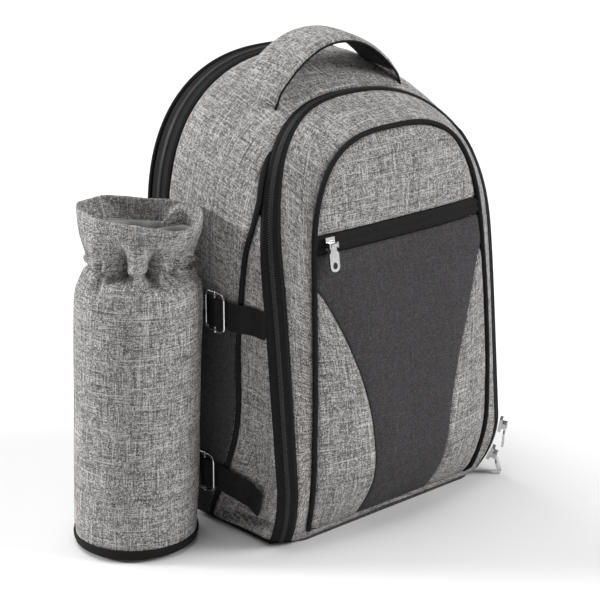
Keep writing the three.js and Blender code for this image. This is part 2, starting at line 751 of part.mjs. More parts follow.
// Base plate with its piping, which runs from one front corner round the back to the other
function addBase() {
  const corners = [
    [RINGS.rearPiping, 0], [RINGS.rearSeam, 0], [null, 0.35], [null, 0.7], [RINGS.frontSeam, 0],
    [RINGS.coverSeam, 0],
  ];
  const half = corners.map(([ring, reach]) => {
    if (ring) return new Vector3(ringHalfWidth(ring, 0), ringDepth(ring, 0), 0);
    const rear = RINGS.rearSeam;
    const front = RINGS.frontSeam;
    return new Vector3(lerp(ringHalfWidth(rear, 0), ringHalfWidth(front, 0), reach),
      lerp(ringDepth(rear, 0), ringDepth(front, 0), reach), 0);
  });
  const pipingHeight = PIPING_RADIUS + 0.5 * SEAM_GAP;
  const mirrored = half.map((p) => p.clone().setX(-p.x)).reverse();
  const path = mirrored.concat(half).map((p) => {
    const inward = new Vector3(-Math.sign(p.x), 0, 0);
    return p.clone().addScaledVector(inward, PIPING_RADIUS).setZ(pipingHeight);
  });
  addPiece('base_piping', tube(path, PIPING_RADIUS), 'black');
  const clear = 2 * PIPING_RADIUS + SEAM_GAP;
  const face = new Vector3(ringHalfWidth(RINGS.face, 0), ringDepth(RINGS.face, 0), 0);
  const plate = half.map((p, i) => {
    const y = i === 0 ? p.y - PIPING_RADIUS - SEAM_GAP : p.y;
    return new THREE.Vector2(p.x - clear - (i === half.length - 1 ? clear : 0), y);
  });
  plate.push(new THREE.Vector2(face.x, face.y + SEAM_GAP));
  const shape = new THREE.Shape(plate.concat(
    plate.map((p) => new THREE.Vector2(-p.x, p.y)).reverse()));
  addPiece('base_panel', new THREE.ExtrudeGeometry(shape, {
    depth: BASE_THICKNESS, bevelEnabled: false,
  }), 'charcoal');
}

// Carry handle: a padded strap over the top, webbing under it and bound edges
function addHandle() {
  const half = 0.5 * HANDLE_SPAN;
  let reach = 0.5;
  for (let i = 0; i < 12; i += 1) {
    const u = stepAtHalfWidth(half, reach);
    const error = bodyPoint(u, reach).y - HANDLE_Y;
    reach += error / bodyPoint(u, 0).distanceTo(bodyPoint(u, 1));
  }
  const base = bodyPoint(stepAtHalfWidth(half, reach), reach);
  const lift = 0.5 * HANDLE_THICKNESS + HANDLE_LIFT;
  const steps = 16;
  const frames = [];
  for (let i = 0; i <= steps; i += 1) {
    const s = lerp(-1, 1, i / steps);
    const z = base.z + HANDLE_RISE * (1 - Math.abs(s) ** HANDLE_POWER);
    const steepness = HANDLE_POWER * Math.abs(s) ** (HANDLE_POWER - 1);
    const slope = -HANDLE_RISE * steepness * Math.sign(s) / half;
    const along = new Vector3(1, 0, slope).normalize();
    const tilt = THREE.MathUtils.degToRad(HANDLE_TILT * lerp(HANDLE_TOP_TILT, 1, s * s));
    const across = new Vector3(0, Math.cos(tilt), Math.sin(tilt));
    const up = along.clone().cross(across).normalize();
    const middle = new Vector3(HANDLE_SHIFT + s * half, HANDLE_Y, z + lift);
    frames.push({ middle, across, up });
  }
  const strip = (section, kept) => loft(kept.map(({ middle, across, up }) => (
    section.map(([side, height]) => middle.clone().addScaledVector(across, side)
      .addScaledVector(up, height)))));
  const w = 0.5 * HANDLE_WIDTH;
  const t = 0.5 * HANDLE_THICKNESS;
  const edge = w - 2 * BINDING_RADIUS - SEAM_GAP;
  addPiece('handle_strap', strip([
    [-edge, -t], [edge, -t], [edge, 0], [0.8 * edge, 0.8 * t], [0, t], [-0.8 * edge, 0.8 * t],
    [-edge, 0],
  ], frames), 'melange');
  const webbing = 0.5 * HANDLE_WEBBING_WIDTH;
  const under = -t - 1.5 * SEAM_GAP;
  addPiece('handle_webbing', strip([
    [-webbing, under - TAPE], [webbing, under - TAPE], [webbing, under], [-webbing, under],
  ], frames.slice(1, -1)), 'black');
  for (const [name, side] of [['front', -1], ['rear', 1]]) {
    const path = frames.map(({ middle, across, up }) => middle.clone()
      .addScaledVector(across, side * (w - BINDING_RADIUS)).addScaledVector(up, -0.4 * t));
    addPiece(`handle_binding_${name}`, tube(path, BINDING_RADIUS), 'black');
  }
}

// Bottle holder
const SIDE_FACE = bodyPoint(stepAtHeight(RINGS.rearSeam, UPPER_STRAP_HEIGHT), 0.5).x;
const PATCH_FACE = SIDE_FACE + SEAM_GAP + SIDE_PATCH;
const HOLDER_AXIS_X = -(PATCH_FACE + 2 * SEAM_GAP + WEBBING + HOLDER_GAP + HOLDER_RADIUS);

function holderAxis(z) {
  const lean = HOLDER_LEAN * (z - UPPER_STRAP_HEIGHT) / UPPER_STRAP_HEIGHT;
  return new Vector3(HOLDER_AXIS_X + lean, HOLDER_Y - 0.5 * lean, z);
}

function holderFolds(angle) {
  return 0.6 * Math.cos(GATHERS * angle + 0.7) + 0.4 * Math.cos((GATHERS + 4) * angle + 2.1);
}

function holderPoint(share, angle, inset) {
  const read = (column) => readTable(HOLDER_SECTIONS, column, share);
  const oval = THREE.MathUtils.degToRad(HOLDER_OVAL_ANGLE);
  const flatten = 1 - read('oval') * Math.sin(angle - oval) ** 2;
  const radius = HOLDER_RADIUS * read('radius') * flatten
    + HOLDER_RADIUS * read('gather') * holderFolds(angle) - inset;
  const z = HOLDER_LIFT + share * (HOLDER_HEIGHT - HOLDER_LIFT);
  const axis = holderAxis(z);
  return new Vector3(axis.x + radius * Math.cos(angle), axis.y + radius * Math.sin(angle), z);
}

function holderRing(share, inset, rise = 0) {
  const ring = [];
  for (let i = 0; i < HOLDER_STEPS; i += 1) {
    const point = holderPoint(share, 2 * Math.PI * i / HOLDER_STEPS, inset);
    ring.push(point.setZ(point.z + rise));
  }
  return ring;
}

// The holder's body up to its shirred waist, the collar above it, the lining and the binding
function addHolder() {
  const shares = HOLDER_SECTIONS.map((row) => row.height);
  const waist = HOLDER_SECTIONS.reduce((least, row) => (
    row.radius < least.radius ? row : least)).height;
  const wall = (kept, inset) => kept.map((share) => holderRing(share, inset));
  const below = shares.filter((share) => share <= waist);
  const standing = below.filter((share) => share >= LINING_LOW);
  const floor = holderRing(0, HOLDER_WALL, HOLDER_WALL);
  addPiece('holder_body', loft([
    ...wall(below, 0), ...wall(standing, HOLDER_WALL).reverse(), floor,
  ]), 'melange');
  const above = [waist + SEAM_GAP / HOLDER_HEIGHT, ...shares.filter((share) => share > waist)];
  addPiece('holder_collar', wrapRings([
    ...wall(above, 0), ...wall(above, HOLDER_WALL).reverse(),
  ]), 'melange');

  const liningInset = HOLDER_WALL + SEAM_GAP;
  const liningShares = shares.filter((share) => (
    share >= LINING_LOW && share * HOLDER_HEIGHT < LINING_HEIGHT));
  const rise = HOLDER_WALL + SEAM_GAP;
  addPiece('holder_lining', loft([
    holderRing(0, 2 * liningInset + LINING_WALL, rise + LINING_WALL),
    ...wall(liningShares, liningInset + LINING_WALL),
    ...wall(liningShares, liningInset).reverse(), holderRing(0, 2 * liningInset, rise),
  ]), 'lining');

  const bandShare = HOLDER_BINDING_HEIGHT / HOLDER_HEIGHT;
  const band = [0, 0.3 * bandShare, bandShare].map((share) => holderRing(share, -SEAM_GAP));
  const bandOut = [bandShare, 0.3 * bandShare, 0].map((share) => (
    holderRing(share, -SEAM_GAP - HOLDER_BINDING_THICKNESS)));
  addPiece('holder_binding', wrapRings(band.concat(bandOut)), 'black');
}

// A hoop through rings of points, whose last ring joins its first
function wrapRings(rings) {
  const count = rings[0].length;
  const total = rings.length;
  const faces = [];
  for (let j = 0; j < total; j += 1) {
    for (let i = 0; i < count; i += 1) {
      const a = j * count + i;
      const b = j * count + (i + 1) % count;
      const c = ((j + 1) % total) * count + (i + 1) % count;
      const d = ((j + 1) % total) * count + i;
      faces.push([a, b, c], [a, c, d]);
    }
  }
  return solid(rings.flat(), faces);
}

// Rectangular wire frame with round corners, and its middle bar, in a plane with two directions
function wireFrame(middle, along, across, length, height, wire) {
  const corner = FRAME_CORNER;
  const cornerSteps = 2;
  const ring = [];
  const signs = [[1, 1], [-1, 1], [-1, -1], [1, -1]];
  signs.forEach(([sa, sc], quarter) => {
    for (let i = 0; i <= cornerSteps; i += 1) {
      const angle = Math.PI / 2 * (quarter + i / cornerSteps);
      const a = sa * (0.5 * length - wire - corner) + corner * Math.cos(angle);
      const c = sc * (0.5 * height - wire - corner) + corner * Math.sin(angle);
      ring.push(middle.clone().addScaledVector(along, a).addScaledVector(across, c));
    }
  });
  const sides = 6;
  const normal = along.clone().cross(across).normalize();
  const rings = [];
  for (let k = 0; k < sides; k += 1) {
    const turn = 2 * Math.PI * k / sides;
    rings.push(ring.map((point, i) => {
      const after = ring[(i + 1) % ring.length];
      const before = ring[(i + ring.length - 1) % ring.length];
      const tangent = after.clone().sub(before).normalize();
      const outward = tangent.cross(normal).normalize();
      return point.clone().addScaledVector(outward, wire * Math.cos(turn))
        .addScaledVector(normal, wire * Math.sin(turn));
    }));
  }
  const frame = wrapRings(rings);
  const reach = 0.5 * height - wire;
  const bar = tube([
    middle.clone().addScaledVector(across, -reach), middle.clone().addScaledVector(across, reach),
  ], wire, sides);
  return fromManifold(toManifold(frame).add(toManifold(bar)));
}

// Flat webbing along a path of points, with the direction across it and the one it faces
function webbing(path, across, width, outward) {
  const sections = path.map((point) => {
    const corner = (side, face) => point.clone().addScaledVector(across, side * 0.5 * width)
      .addScaledVector(outward, face * 0.5 * WEBBING);
    return [corner(-1, -1), corner(1, -1), corner(1, 1), corner(-1, 1)];
  });
  return loft(sections);
}

// Places along a strap that is woven through a frame: behind its ends and over its bar. reach
// is the distance from the bar, push how far the strap stands out there.
function weave(length, rod) {
  const swing = rod + SEAM_GAP + 0.5 * WEBBING;
  const half = 0.5 * length - rod;
  const places = [];
  for (let share = -1.5; share <= 1.5; share += 0.25) {
    const wave = 1.3 * Math.cos(Math.PI * share);
    places.push({ reach: share * half, push: swing * Math.max(-1, Math.min(1, wave)) });
  }
  return places;
}

function addHolderStraps() {
  const patch = (name, from, to, finish) => {
    const top = stepAtHeight(RINGS.rearSeam, to);
    const foot = from > LOW ? stepAtHeight(RINGS.rearSeam, from) : 1;
    const between = archSteps(SIDE_SHARE, 1).filter((u) => u > top + 0.01 && u < foot - 0.01);
    const columns = [top, ...between, foot];
    const rows = [0, 1, 2, 3].map((j) => columns.map((u) => {
      const length = bodyPoint(u, 0).distanceTo(bodyPoint(u, 1));
      const end = pipingReach(u) - (PIPING_RADIUS + 2 * SEAM_GAP) / length;
      return bodyPoint(-u, lerp(SIDE_PATCH_REAR, end, j / 3));
    }));
    addPiece(name, sheet(rows, SIDE_PATCH, SIDE_PATCH + SEAM_GAP), finish);
  };
  const bound = SIDE_PATCH_HEIGHT - SIDE_PATCH_BINDING;
  patch('side_patch', 0, bound - SEAM_GAP, 'charcoal');
  patch('side_patch_binding', bound, SIDE_PATCH_HEIGHT, 'black');

  const across = new Vector3(0, 0, 1);
  const outward = new Vector3(-1, 0, 0);
  const straps = [
    ['upper', UPPER_STRAP_HEIGHT, UPPER_BUCKLE_Y], ['lower', LOWER_STRAP_HEIGHT, LOWER_BUCKLE_Y],
  ];
  for (const [name, height, buckleY] of straps) {
    const axis = holderAxis(height);
    const flatX = -(PATCH_FACE + SEAM_GAP + 0.5 * WEBBING);
    const frameX = flatX - (BUCKLE_WIRE + SEAM_GAP + 0.5 * WEBBING);
    const endX = axis.x + HOLDER_RADIUS + HOLDER_GAP + 0.5 * WEBBING;
    const middleStep = stepAtHeight(RINGS.frontSeam, height);
    const woven = weave(BUCKLE_LENGTH, BUCKLE_WIRE);
    const half = 0.5 * WEBBING_WIDTH;
    const path = [STRAP_FRONT, 0.5 * STRAP_FRONT].map((share) => {
      const [lower, middle, upper] = [-half, 0, half].map((shift) => (
        wedgePoint(-1, stepAtHeight(RINGS.frontSeam, height + shift), share)));
      const clothX = Math.min(lower.x, middle.x, upper.x);
      return new Vector3(clothX - 2 * SEAM_GAP - 0.5 * WEBBING, middle.y, height);
    });
    const crest = bodyPoint(-middleStep, pipingReach(middleStep));
    const crestX = -(SIDE_FACE + PIPING_RADIUS + 2 * SEAM_GAP + 0.5 * WEBBING);
    path.push(new Vector3(crestX, crest.y, height));
    for (const { reach, push } of woven) {
      path.push(new Vector3(frameX - push, buckleY + reach, height));
    }
    path.push(new Vector3(endX, Math.max(axis.y, buckleY + BUCKLE_LENGTH), height));
    path.push(new Vector3(endX, axis.y + 0.5 * WEBBING_WIDTH, height));
    addPiece(`${name}_strap`, webbing(path, across, WEBBING_WIDTH, outward), 'black');
    const middle = new Vector3(frameX, buckleY, height);
    addPiece(`${name}_buckle`, wireFrame(middle, new Vector3(0, 1, 0), across, BUCKLE_LENGTH,
      BUCKLE_HEIGHT, BUCKLE_WIRE), 'metal');
  }
}

// Slider with two ears and a pin, in its own frame: X along the pin, Z up along the zip's face
// and -Y away from the face
function sliderGeometry() {
  const plate = new THREE.BoxGeometry(SLIDER_WIDTH, SLIDER_THICKNESS, SLIDER_LENGTH);
  plate.translate(0, -0.5 * SLIDER_THICKNESS, 0);
  const pinOut = SLIDER_THICKNESS + BARREL_RADIUS + PIN_CLEARANCE;
  const earHeight = BARREL_RADIUS + PIN_CLEARANCE + PIN_RADIUS + EAR_TOP;
  let body = toManifold(plate);
  for (const side of [-1, 1]) {
    const ear = new THREE.BoxGeometry(EAR_THICKNESS, earHeight, EAR_LENGTH);
    ear.translate(side * 0.5 * (SLIDER_WIDTH - EAR_THICKNESS),
      -SLIDER_THICKNESS - 0.5 * earHeight + OVERLAP, 0);
    body = body.add(toManifold(ear));
  }
  const pin = new THREE.CylinderGeometry(PIN_RADIUS, PIN_RADIUS, SLIDER_WIDTH - EAR_THICKNESS, 8);
  pin.rotateZ(Math.PI / 2);
  pin.translate(0, -pinOut, 0);
  return fromManifold(body.add(toManifold(pin)));
}

// Pull tab in the same frame, its pin at the origin, hanging down along -Z
function pullGeometry() {
  const room = SLIDER_WIDTH - 2 * EAR_THICKNESS - 2 * PIN_CLEARANCE;
  const bore = PIN_RADIUS + PIN_CLEARANCE;
  const barrel = new THREE.CylinderGeometry(BARREL_RADIUS, BARREL_RADIUS, room, 10);
  barrel.rotateZ(Math.PI / 2);
  const hole = new THREE.CylinderGeometry(bore, bore, 2 * room, 10);
  hole.rotateZ(Math.PI / 2);
  const w = 0.5 * PULL_WIDTH;
  const neck = BARREL_RADIUS + PULL_NECK;
  const outline = new THREE.Shape();
  outline.moveTo(-0.5 * room, 0);
  outline.lineTo(-0.5 * room, -neck);
  outline.lineTo(-w, -neck - PULL_SHOULDER);
  outline.lineTo(-w, -PULL_LENGTH + w);
  outline.absarc(0, -PULL_LENGTH + w, w, Math.PI, 2 * Math.PI, false);
  outline.lineTo(w, -neck - PULL_SHOULDER);
  outline.lineTo(0.5 * room, -neck);
  outline.lineTo(0.5 * room, 0);
  outline.closePath();
  const window = new THREE.Path();
  window.absellipse(0, -PULL_LENGTH + w + WINDOW_LIFT, 0.5 * WINDOW_WIDTH, 0.5 * WINDOW_HEIGHT,
    0, 2 * Math.PI, true);
  outline.holes.push(window);
  const plate = new THREE.ExtrudeGeometry(outline, {
    depth: PULL_THICKNESS, bevelEnabled: false, curveSegments: 4,
  });
  plate.rotateX(Math.PI / 2);
  plate.translate(0, 0.5 * PULL_THICKNESS, 0);
  return fromManifold(toManifold(barrel).add(toManifold(plate)).subtract(toManifold(hole)));
}

// Places a slider and its pull on a zip: where the zip's face is, which way it faces, which way
// is down along it, and how far the pull leans out from that face at rest
function addSlider(name, place, normal, down, lean) {
  const outward = normal.clone().normalize();
  const pinAxis = outward.clone().cross(down).normalize();
  const downward = pinAxis.clone().cross(outward).normalize();
  const turn = new THREE.Matrix4().makeBasis(pinAxis, outward.clone().negate(),
    downward.clone().negate());
  const group = new THREE.Group();
  group.quaternion.setFromRotationMatrix(turn);
  group.position.copy(place).addScaledVector(outward, COIL_HEIGHT + 2 * SEAM_GAP);
  addPiece(`${name}_slider`, sliderGeometry(), 'metal', group);
  const pull = addPiece(`${name}_pull`, pullGeometry(), 'metal', group);
  pull.position.set(0, -(SLIDER_THICKNESS + BARREL_RADIUS + PIN_CLEARANCE), 0);
  pull.rotation.x = -THREE.MathUtils.degToRad(lean);
  backpack.add(group);
}

function addSliders() {
  const pocketX = -(faceHalfWidth(POCKET_ZIP_HEIGHT) - PIPING_RADIUS - 1.1 * SLIDER_WIDTH);
  const here = facePoint(pocketX, POCKET_ZIP_HEIGHT);
  const below = facePoint(pocketX, POCKET_ZIP_HEIGHT - PULL_LENGTH);
  const beside = facePoint(pocketX + FACE_STEP, POCKET_ZIP_HEIGHT);
  const down = below.clone().sub(here);
  const normal = down.clone().cross(beside.clone().sub(here)).normalize();
  if (normal.y > 0) normal.negate();
  addSlider('pocket', here, normal, down, 0);

  const bandFrame = (firstRing, secondRing, z) => {
    const u = stepAtHeight(firstRing, z);
    const first = archPoint(firstRing, u);
    const second = archPoint(secondRing, u);
    const below = archPoint(firstRing, u + BAND_STEP).add(archPoint(secondRing, u + BAND_STEP));
    const place = first.clone().add(second).multiplyScalar(0.5);
    const towards = below.multiplyScalar(0.5).sub(place);
    const face = towards.clone().cross(second.clone().sub(first)).normalize();
    if (face.x < 0) face.negate();
    return { place, face, towards };
  };
  const upper = bandFrame(RINGS.frontSeam, RINGS.coverSeam, UPPER_SLIDER_HEIGHT);
  addSlider('front_upper', upper.place, upper.face, upper.towards, SIDE_PULL_LEAN);
  const lower = bandFrame(RINGS.frontSeam, RINGS.coverSeam, LOWER_SLIDER_HEIGHT);
  addSlider('front_lower', lower.place, lower.face, lower.towards, LOWER_PULL_LEAN);
  const rear = bandFrame(RINGS.rearEdge, RINGS.rearSeam, REAR_SLIDER_HEIGHT);
  addSlider('rear', rear.place, rear.face, rear.towards, SIDE_PULL_LEAN);
}

// Shoulder straps with their webbing and adjusters
function addShoulderStraps() {
  const backY = REAR_EDGE_Y + BACK_PAD;
  for (const [name, side] of [['left', -1], ['right', 1]]) {
    const steps = 12;
    const sections = [];
    const place = (t) => {
      const bow = Math.sin(Math.PI * Math.min(1, t * 1.02)) ** 0.8;
      const x = side * lerp(SHOULDER_TOP_X, SHOULDER_END_X, t * t);
      const y = backY + SEAM_GAP + 0.5 * SHOULDER_PAD + SHOULDER_BOW * bow;
      return new Vector3(x, y, lerp(SHOULDER_TOP, SHOULDER_END, t));
    };
    for (let i = 0; i <= steps; i += 1) {
      const t = i / steps;
      const middle = place(t);
      const ahead = place(Math.min(1, t + SHOULDER_STEP));
      const along = ahead.sub(place(Math.max(0, t - SHOULDER_STEP))).normalize();
      const across = new Vector3(1, 0, 0).addScaledVector(along, -along.x).normalize();
      const out = along.clone().cross(across).normalize();
      if (out.y < 0) out.negate();
      const w = 0.5 * SHOULDER_WIDTH * lerp(1, SHOULDER_TAPER, t) * (i === 0 || i === steps ? 0.9 : 1);
      const h = 0.5 * SHOULDER_PAD * (i === 0 || i === steps ? 0.7 : 1);
      sections.push([[-1, 0.35], [-0.85, 1], [0.85, 1], [1, 0.35], [1, -0.35], [0.85, -1],
        [-0.85, -1], [-1, -0.35]].map(([a, b]) => middle.clone().addScaledVector(across, a * w)
        .addScaledVector(out, b * h)));
    }
    addPiece(`shoulder_strap_${name}`, loft(sections), 'melange');

    const end = place(1);
    const strapEnd = end.clone().sub(place(1 - SHOULDER_STEP)).normalize();
    const footY = backY + SEAM_GAP + 0.5 * WEBBING + STRAP_FOOT_LIFT;
    const foot = new Vector3(side * STRAP_FOOT_X, footY, STRAP_FOOT_HEIGHT);
    const along = foot.clone().sub(end).normalize();
    const across = new Vector3(1, 0, 0).addScaledVector(along, -along.x).normalize();
    const out = along.clone().cross(across).normalize();
    if (out.y < 0) out.negate();
    const turn = strapEnd.clone().cross(along).length();
    const start = end.clone().addScaledVector(along, 0.5 * STRAP_WEBBING_WIDTH * turn + SEAM_GAP);
    const span = start.distanceTo(foot);
    const buckleAt = ADJUSTER_PLACE * span;
    const path = [start];
    for (const { reach, push } of weave(ADJUSTER_LENGTH, ADJUSTER_ROD)) {
      path.push(start.clone().addScaledVector(along, buckleAt + reach).addScaledVector(out, push));
    }
    path.push(foot);
    addPiece(`strap_webbing_${name}`, webbing(path, across, STRAP_WEBBING_WIDTH, out),
      'black');
    const middle = start.clone().addScaledVector(along, buckleAt);
    addPiece(`strap_adjuster_${name}`, wireFrame(middle, along, across, ADJUSTER_LENGTH,
      STRAP_WEBBING_WIDTH + 2 * ADJUSTER_MARGIN, ADJUSTER_ROD), 'plastic');
  }
}

addBase();
addRear();
addBody();
addWedges();
addCover();
addFace();
addHandle();
addHolder();
addHolderStraps();
addSliders();
addShoulderStraps();

export default backpack;
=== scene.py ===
import math
from bisect import bisect_right

import bmesh
import bpy
from mathutils import Matrix, Vector, noise


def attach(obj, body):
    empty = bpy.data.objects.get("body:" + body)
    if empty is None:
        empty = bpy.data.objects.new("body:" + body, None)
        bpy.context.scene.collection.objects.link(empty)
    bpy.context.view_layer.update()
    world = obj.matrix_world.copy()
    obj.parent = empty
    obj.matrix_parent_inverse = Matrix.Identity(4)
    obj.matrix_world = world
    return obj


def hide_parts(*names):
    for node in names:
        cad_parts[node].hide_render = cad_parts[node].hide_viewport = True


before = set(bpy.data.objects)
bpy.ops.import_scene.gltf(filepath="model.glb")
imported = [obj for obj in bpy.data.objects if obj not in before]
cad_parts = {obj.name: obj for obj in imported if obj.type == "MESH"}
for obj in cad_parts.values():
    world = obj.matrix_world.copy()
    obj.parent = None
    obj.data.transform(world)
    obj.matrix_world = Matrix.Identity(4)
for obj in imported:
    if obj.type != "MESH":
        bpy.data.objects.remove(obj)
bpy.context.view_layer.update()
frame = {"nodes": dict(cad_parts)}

bl_info = {
    "name": "Cooler backpack",
    "version": (1, 0, 0),
    "blender": (4, 5, 0),
    "location": "3D View > Sidebar > Backpack",
    "description": "Sews a cooler backpack with a gathered bottle holder round its frame",
    "category": "Add Mesh",
}

MM = 0.001

# Sizes in millimetres
REAR_EDGE_Y = 82
CLOTH = 2.2
SEAM_GAP = 0.35
CLEAR = 0.6
PIPING = 2.4
LOW = 2 * PIPING + 1.5 * SEAM_GAP
REAR_CORD_SHIFT = (0, -1.9, 0)
FRONT_CORD_LOW_SHIFT = (0, 7.0, 1.5)
BASE_CORD_CORNER_SHIFT = (-4, 5, 0)
CORD_SINK = 4.0
BODY_FULLNESS = 5
COVER_LOW = 1.4
COVER_CROWN_RISE = 1.5
FACE_CROWN = 14
FACE_BOTTOM = 7.5
FACE_CORNER = 12
SIDE_FACE_OVERLAP = 1.4
SIDE_FACE_LEAST = 1.8
POCKET_ZIP_HEIGHT = 274
POCKET_ZIP_WIDTH = 15.5
DARK_PANEL_WIDTH = 92
HANDLE_SPAN = 141
HANDLE_SHIFT = -3
HANDLE_WIDTH = 50
HANDLE_THICKNESS = 7
HANDLE_RISE = 35
HANDLE_Y = 6
HANDLE_LIFT = 1.9
HANDLE_WEBBING_WIDTH = 46
HANDLE_WEBBING = 1.2
HANDLE_EDGE = 0.9
HOLDER_HEIGHT = 297
HOLDER_RADIUS = 55
HOLDER_Y = 21
HOLDER_LEAN = 7
HOLDER_LIFT = 1
HOLDER_BINDING = 11
HOLDER_LINING_INSET = 3.4
PLEAT_DEPTH = 17
FOLD_LEAN_HEIGHT = 40
SEAM_BREADTH = 2.6
SEAM_FADE = 14
PUCKER_REACH = 8
PUCKER_SIZE = 9
WAVE = 46
SMALL_WAVE = 19
RIM_ROLL = 2.6
RIM_HOLLOW = 1.6
CREASE_DEPTH = 6.5
CREASE_BREADTH = 3.2
CREASE_HEIGHT = 5
WEDGE_ROLL = 2.4
WEDGE_HOLLOW = 4.5
WEDGE_HOLLOW_HEIGHT = 92
FRILL = 0.9
FRILL_HEIGHT = 6
WAIST_LIP = 2.7
WEBBING_WIDTH = 26
WEBBING = 1.6
SIDE_PATCH = 1.2
SIDE_PATCH_HEIGHT = 229
SIDE_PATCH_BINDING = 11
SIDE_PATCH_LIFT = 2.3
UPPER_STRAP_HEIGHT = 208
LOWER_STRAP_HEIGHT = 53
STRAP_DROP = 13
STRAP_DROP_LENGTH = 48
BUCKLE_HEIGHT = 36
BUCKLE_LENGTH = 27
BUCKLE_WIRE = 1.2
BUCKLE_CORNER = 5.0
UPPER_BUCKLE_Y = -16
LOWER_BUCKLE_Y = 2
BACK_PAD = 9
BACK_CHANNEL = 3.5
BACK_CHANNEL_X = 34
SHOULDER_WIDTH = 62
SHOULDER_PAD = 11
SHOULDER_TOP = 372
SHOULDER_END = 150
SHOULDER_BOW = 30
SHOULDER_TOP_X = 38
SHOULDER_END_X = 92

# Angles in degrees
HANDLE_TILT = 12
HOLDER_TURN = 126.6
HOLDER_OVAL_TURN = -41
PLEAT_TURN = 133
PLEAT_BREADTH = 4.5

# Shares of a length, a height or a size, and plain numbers
SIDE_SHARE = 0.5
ARCH_SHARE = 0.72
CORNER_SHARE = 0.03
CENTRE_HEIGHT = 0.42
WEDGE_DRAW = 0.09
CORD_SINK_FROM = 0.8
COVER_CROWN_FROM = 0.76
COVER_CROWN = 0.42
FACE_FOOT = 0.17
FACE_DIP = 0.75
FACE_DIP_HEIGHT = 0.77
FACE_DIP_BREADTH = 0.13
UPPER_FACE_CORNER = 0.78
HANDLE_REACH = 1.08
HANDLE_TUCK = 2.2
HANDLE_ARCH = 2.1
HANDLE_UNDERSIDE = 0.45
WAIST = 0.852
COLLAR_FROM = 0.88
SHOULDER_TAPER = 0.82
CREASE_SLOPE = 0.22
FOLD_WIDENING = 0.6
FOLD_SHOULDER = 0.16
FOLD_SHOULDER_PLACE = 1.9
FOLD_FADE_POWER = 5
YARN_CONTRAST = 2.4
FLECK_CONTRAST = 0.7
CLUSTER_CONTRAST = 0.45
SLUB_CONTRAST = 0.85
ARCH_STEPS = 300

# The camera: degrees, metres, and millimetres for its lens
CAMERA_AZIMUTH = -41.5
CAMERA_ELEVATION = 18.6
CAMERA_TARGET = (-0.0349, 0.0, 0.1896)
CAMERA_DISTANCE = 1.65
CAMERA_SENSOR = 36
CAMERA_LENS = 108.9


def table(columns, rows):
    """Rows of numbers as dictionaries that have the names of their columns."""
    return [dict(zip(columns.split(), row)) for row in rows]


# The seams that run round the bag, as shares of its width, height and depth. spring is where the
# arch begins and belly how far forward a ring stands. drift and lean carry its top back, and foot
# its base.
RINGS = dict(zip(
    ("rear_piping", "rear_edge", "rear_seam", "front_seam", "cover_seam", "face"),
    table("width height spring power taper belly drift lean lean_from lean_power"
          " foot foot_height foot_in", [
              (0.982, 0.992, 0.645, 2.5, 0, -0.018, 0, 0, 0.15, 2, 0, 0.15, 0.02),
              (0.986, 0.994, 0.645, 2.5, 0, 0, 0, 0, 0.15, 2, 0, 0.15, 0.02),
              (0.99, 0.996, 0.645, 2.5, 0, 0.136, 0, 0, 0.15, 2, 0, 0.15, 0.02),
              (0.985, 0.932, 0.6, 2.5, 0, 0.929, 0.165, 0.21, 0.146, 6, 0.12, 0.146, 0.03),
              (0.88, 0.927, 0.656, 2.5, 0, 0.989, 0.156, 0.214, 0.146, 6, 0.109, 0.146, 0.03),
              (0.77, 0.878, 0.679, 3, 0.14, 1, 0, 0.109, 0.268, 1.6, 0.109, 0.2, 0.03),
          ])))

# How far forward the side piping lies at each share of the bag's height
SIDE_PIPING = table("height reach", [
    (0.0, 0.36), (0.1, 0.49), (0.25, 0.665), (0.45, 0.73), (0.63, 0.85), (0.71, 0.94),
    (0.79, 1.0)])

# Half the dark panel's width at each share of the pocket zip's height
DARK_PANEL = table("height half", [
    (0.04, 0.96), (0.22, 0.98), (0.33, 1.03), (0.43, 1.13), (0.54, 1.31), (0.64, 1.53),
    (0.73, 1.76), (0.84, 2.09), (0.9, 2.35)])

HOLDER_SECTIONS = table("height radius oval", [
    (0.0, 0.9, 0.0), (0.01, 0.955, 0.0), (0.05, 0.985, 0.0), (0.4, 0.992, 0.02),
    (0.72, 0.995, 0.02), (0.785, 0.97, 0.02), (0.825, 0.89, 0.02), (0.852, 0.795, 0.03),
    (0.88, 0.82, 0.05), (0.92, 0.89, 0.1), (0.965, 0.95, 0.14), (1.0, 0.985, 0.18)])

# Folds pressed into the holder's neck. turn is measured in degrees from the holder's front left;
# lean is how far the fold has turned at the rim; above and below are its reaches from the waist.
NECK_FOLDS = table("turn lean depth breadth above below", [
    (-66, -6, 5, 5, 16, 12), (-47, -4, 7, 5, 20, 17), (-22, -3, 19, 9, 27, 6),
    (-34, -3, 5, 3.5, 16, 9), (-8, 3, 4, 3, 8, 7), (5, 0, 3.5, 3, 7, 5),
    (17, 15, 20, 10, 28, 9), (36, 9, 6, 4, 15, 9), (50, 20, 16, 9, 26, 7),
    (74, 8, 6, 6, 22, 10), (104, 4, 6, 8, 26, 12), (133, 0, 12, 7, 40, 12),
    (171, -3, 6, 7, 24, 12), (-152, -6, 6, 8, 24, 12), (-116, -4, 6, 8, 24, 12),
    (-82, -4, 5, 7, 22, 12)])

# The corners of the collar's rim: radius and height in millimetres at each turn
COLLAR_RIM = table("turn radius rise", [
    (-180, 47, 299), (-150, 60, 301), (-118, 61, 301.5), (-98, 54, 301), (-56, 44, 301),
    (-20, 42, 300), (8, 45, 298), (30, 55, 295), (52, 58, 294), (78, 54, 296),
    (101, 54, 299), (124, 51, 299), (134, 50, 299), (180, 47, 299)])


def lerp(a, b, t):
    return a + (b - a) * t


def clamp(value, low=0.0, high=1.0):
    return min(max(value, low), high)


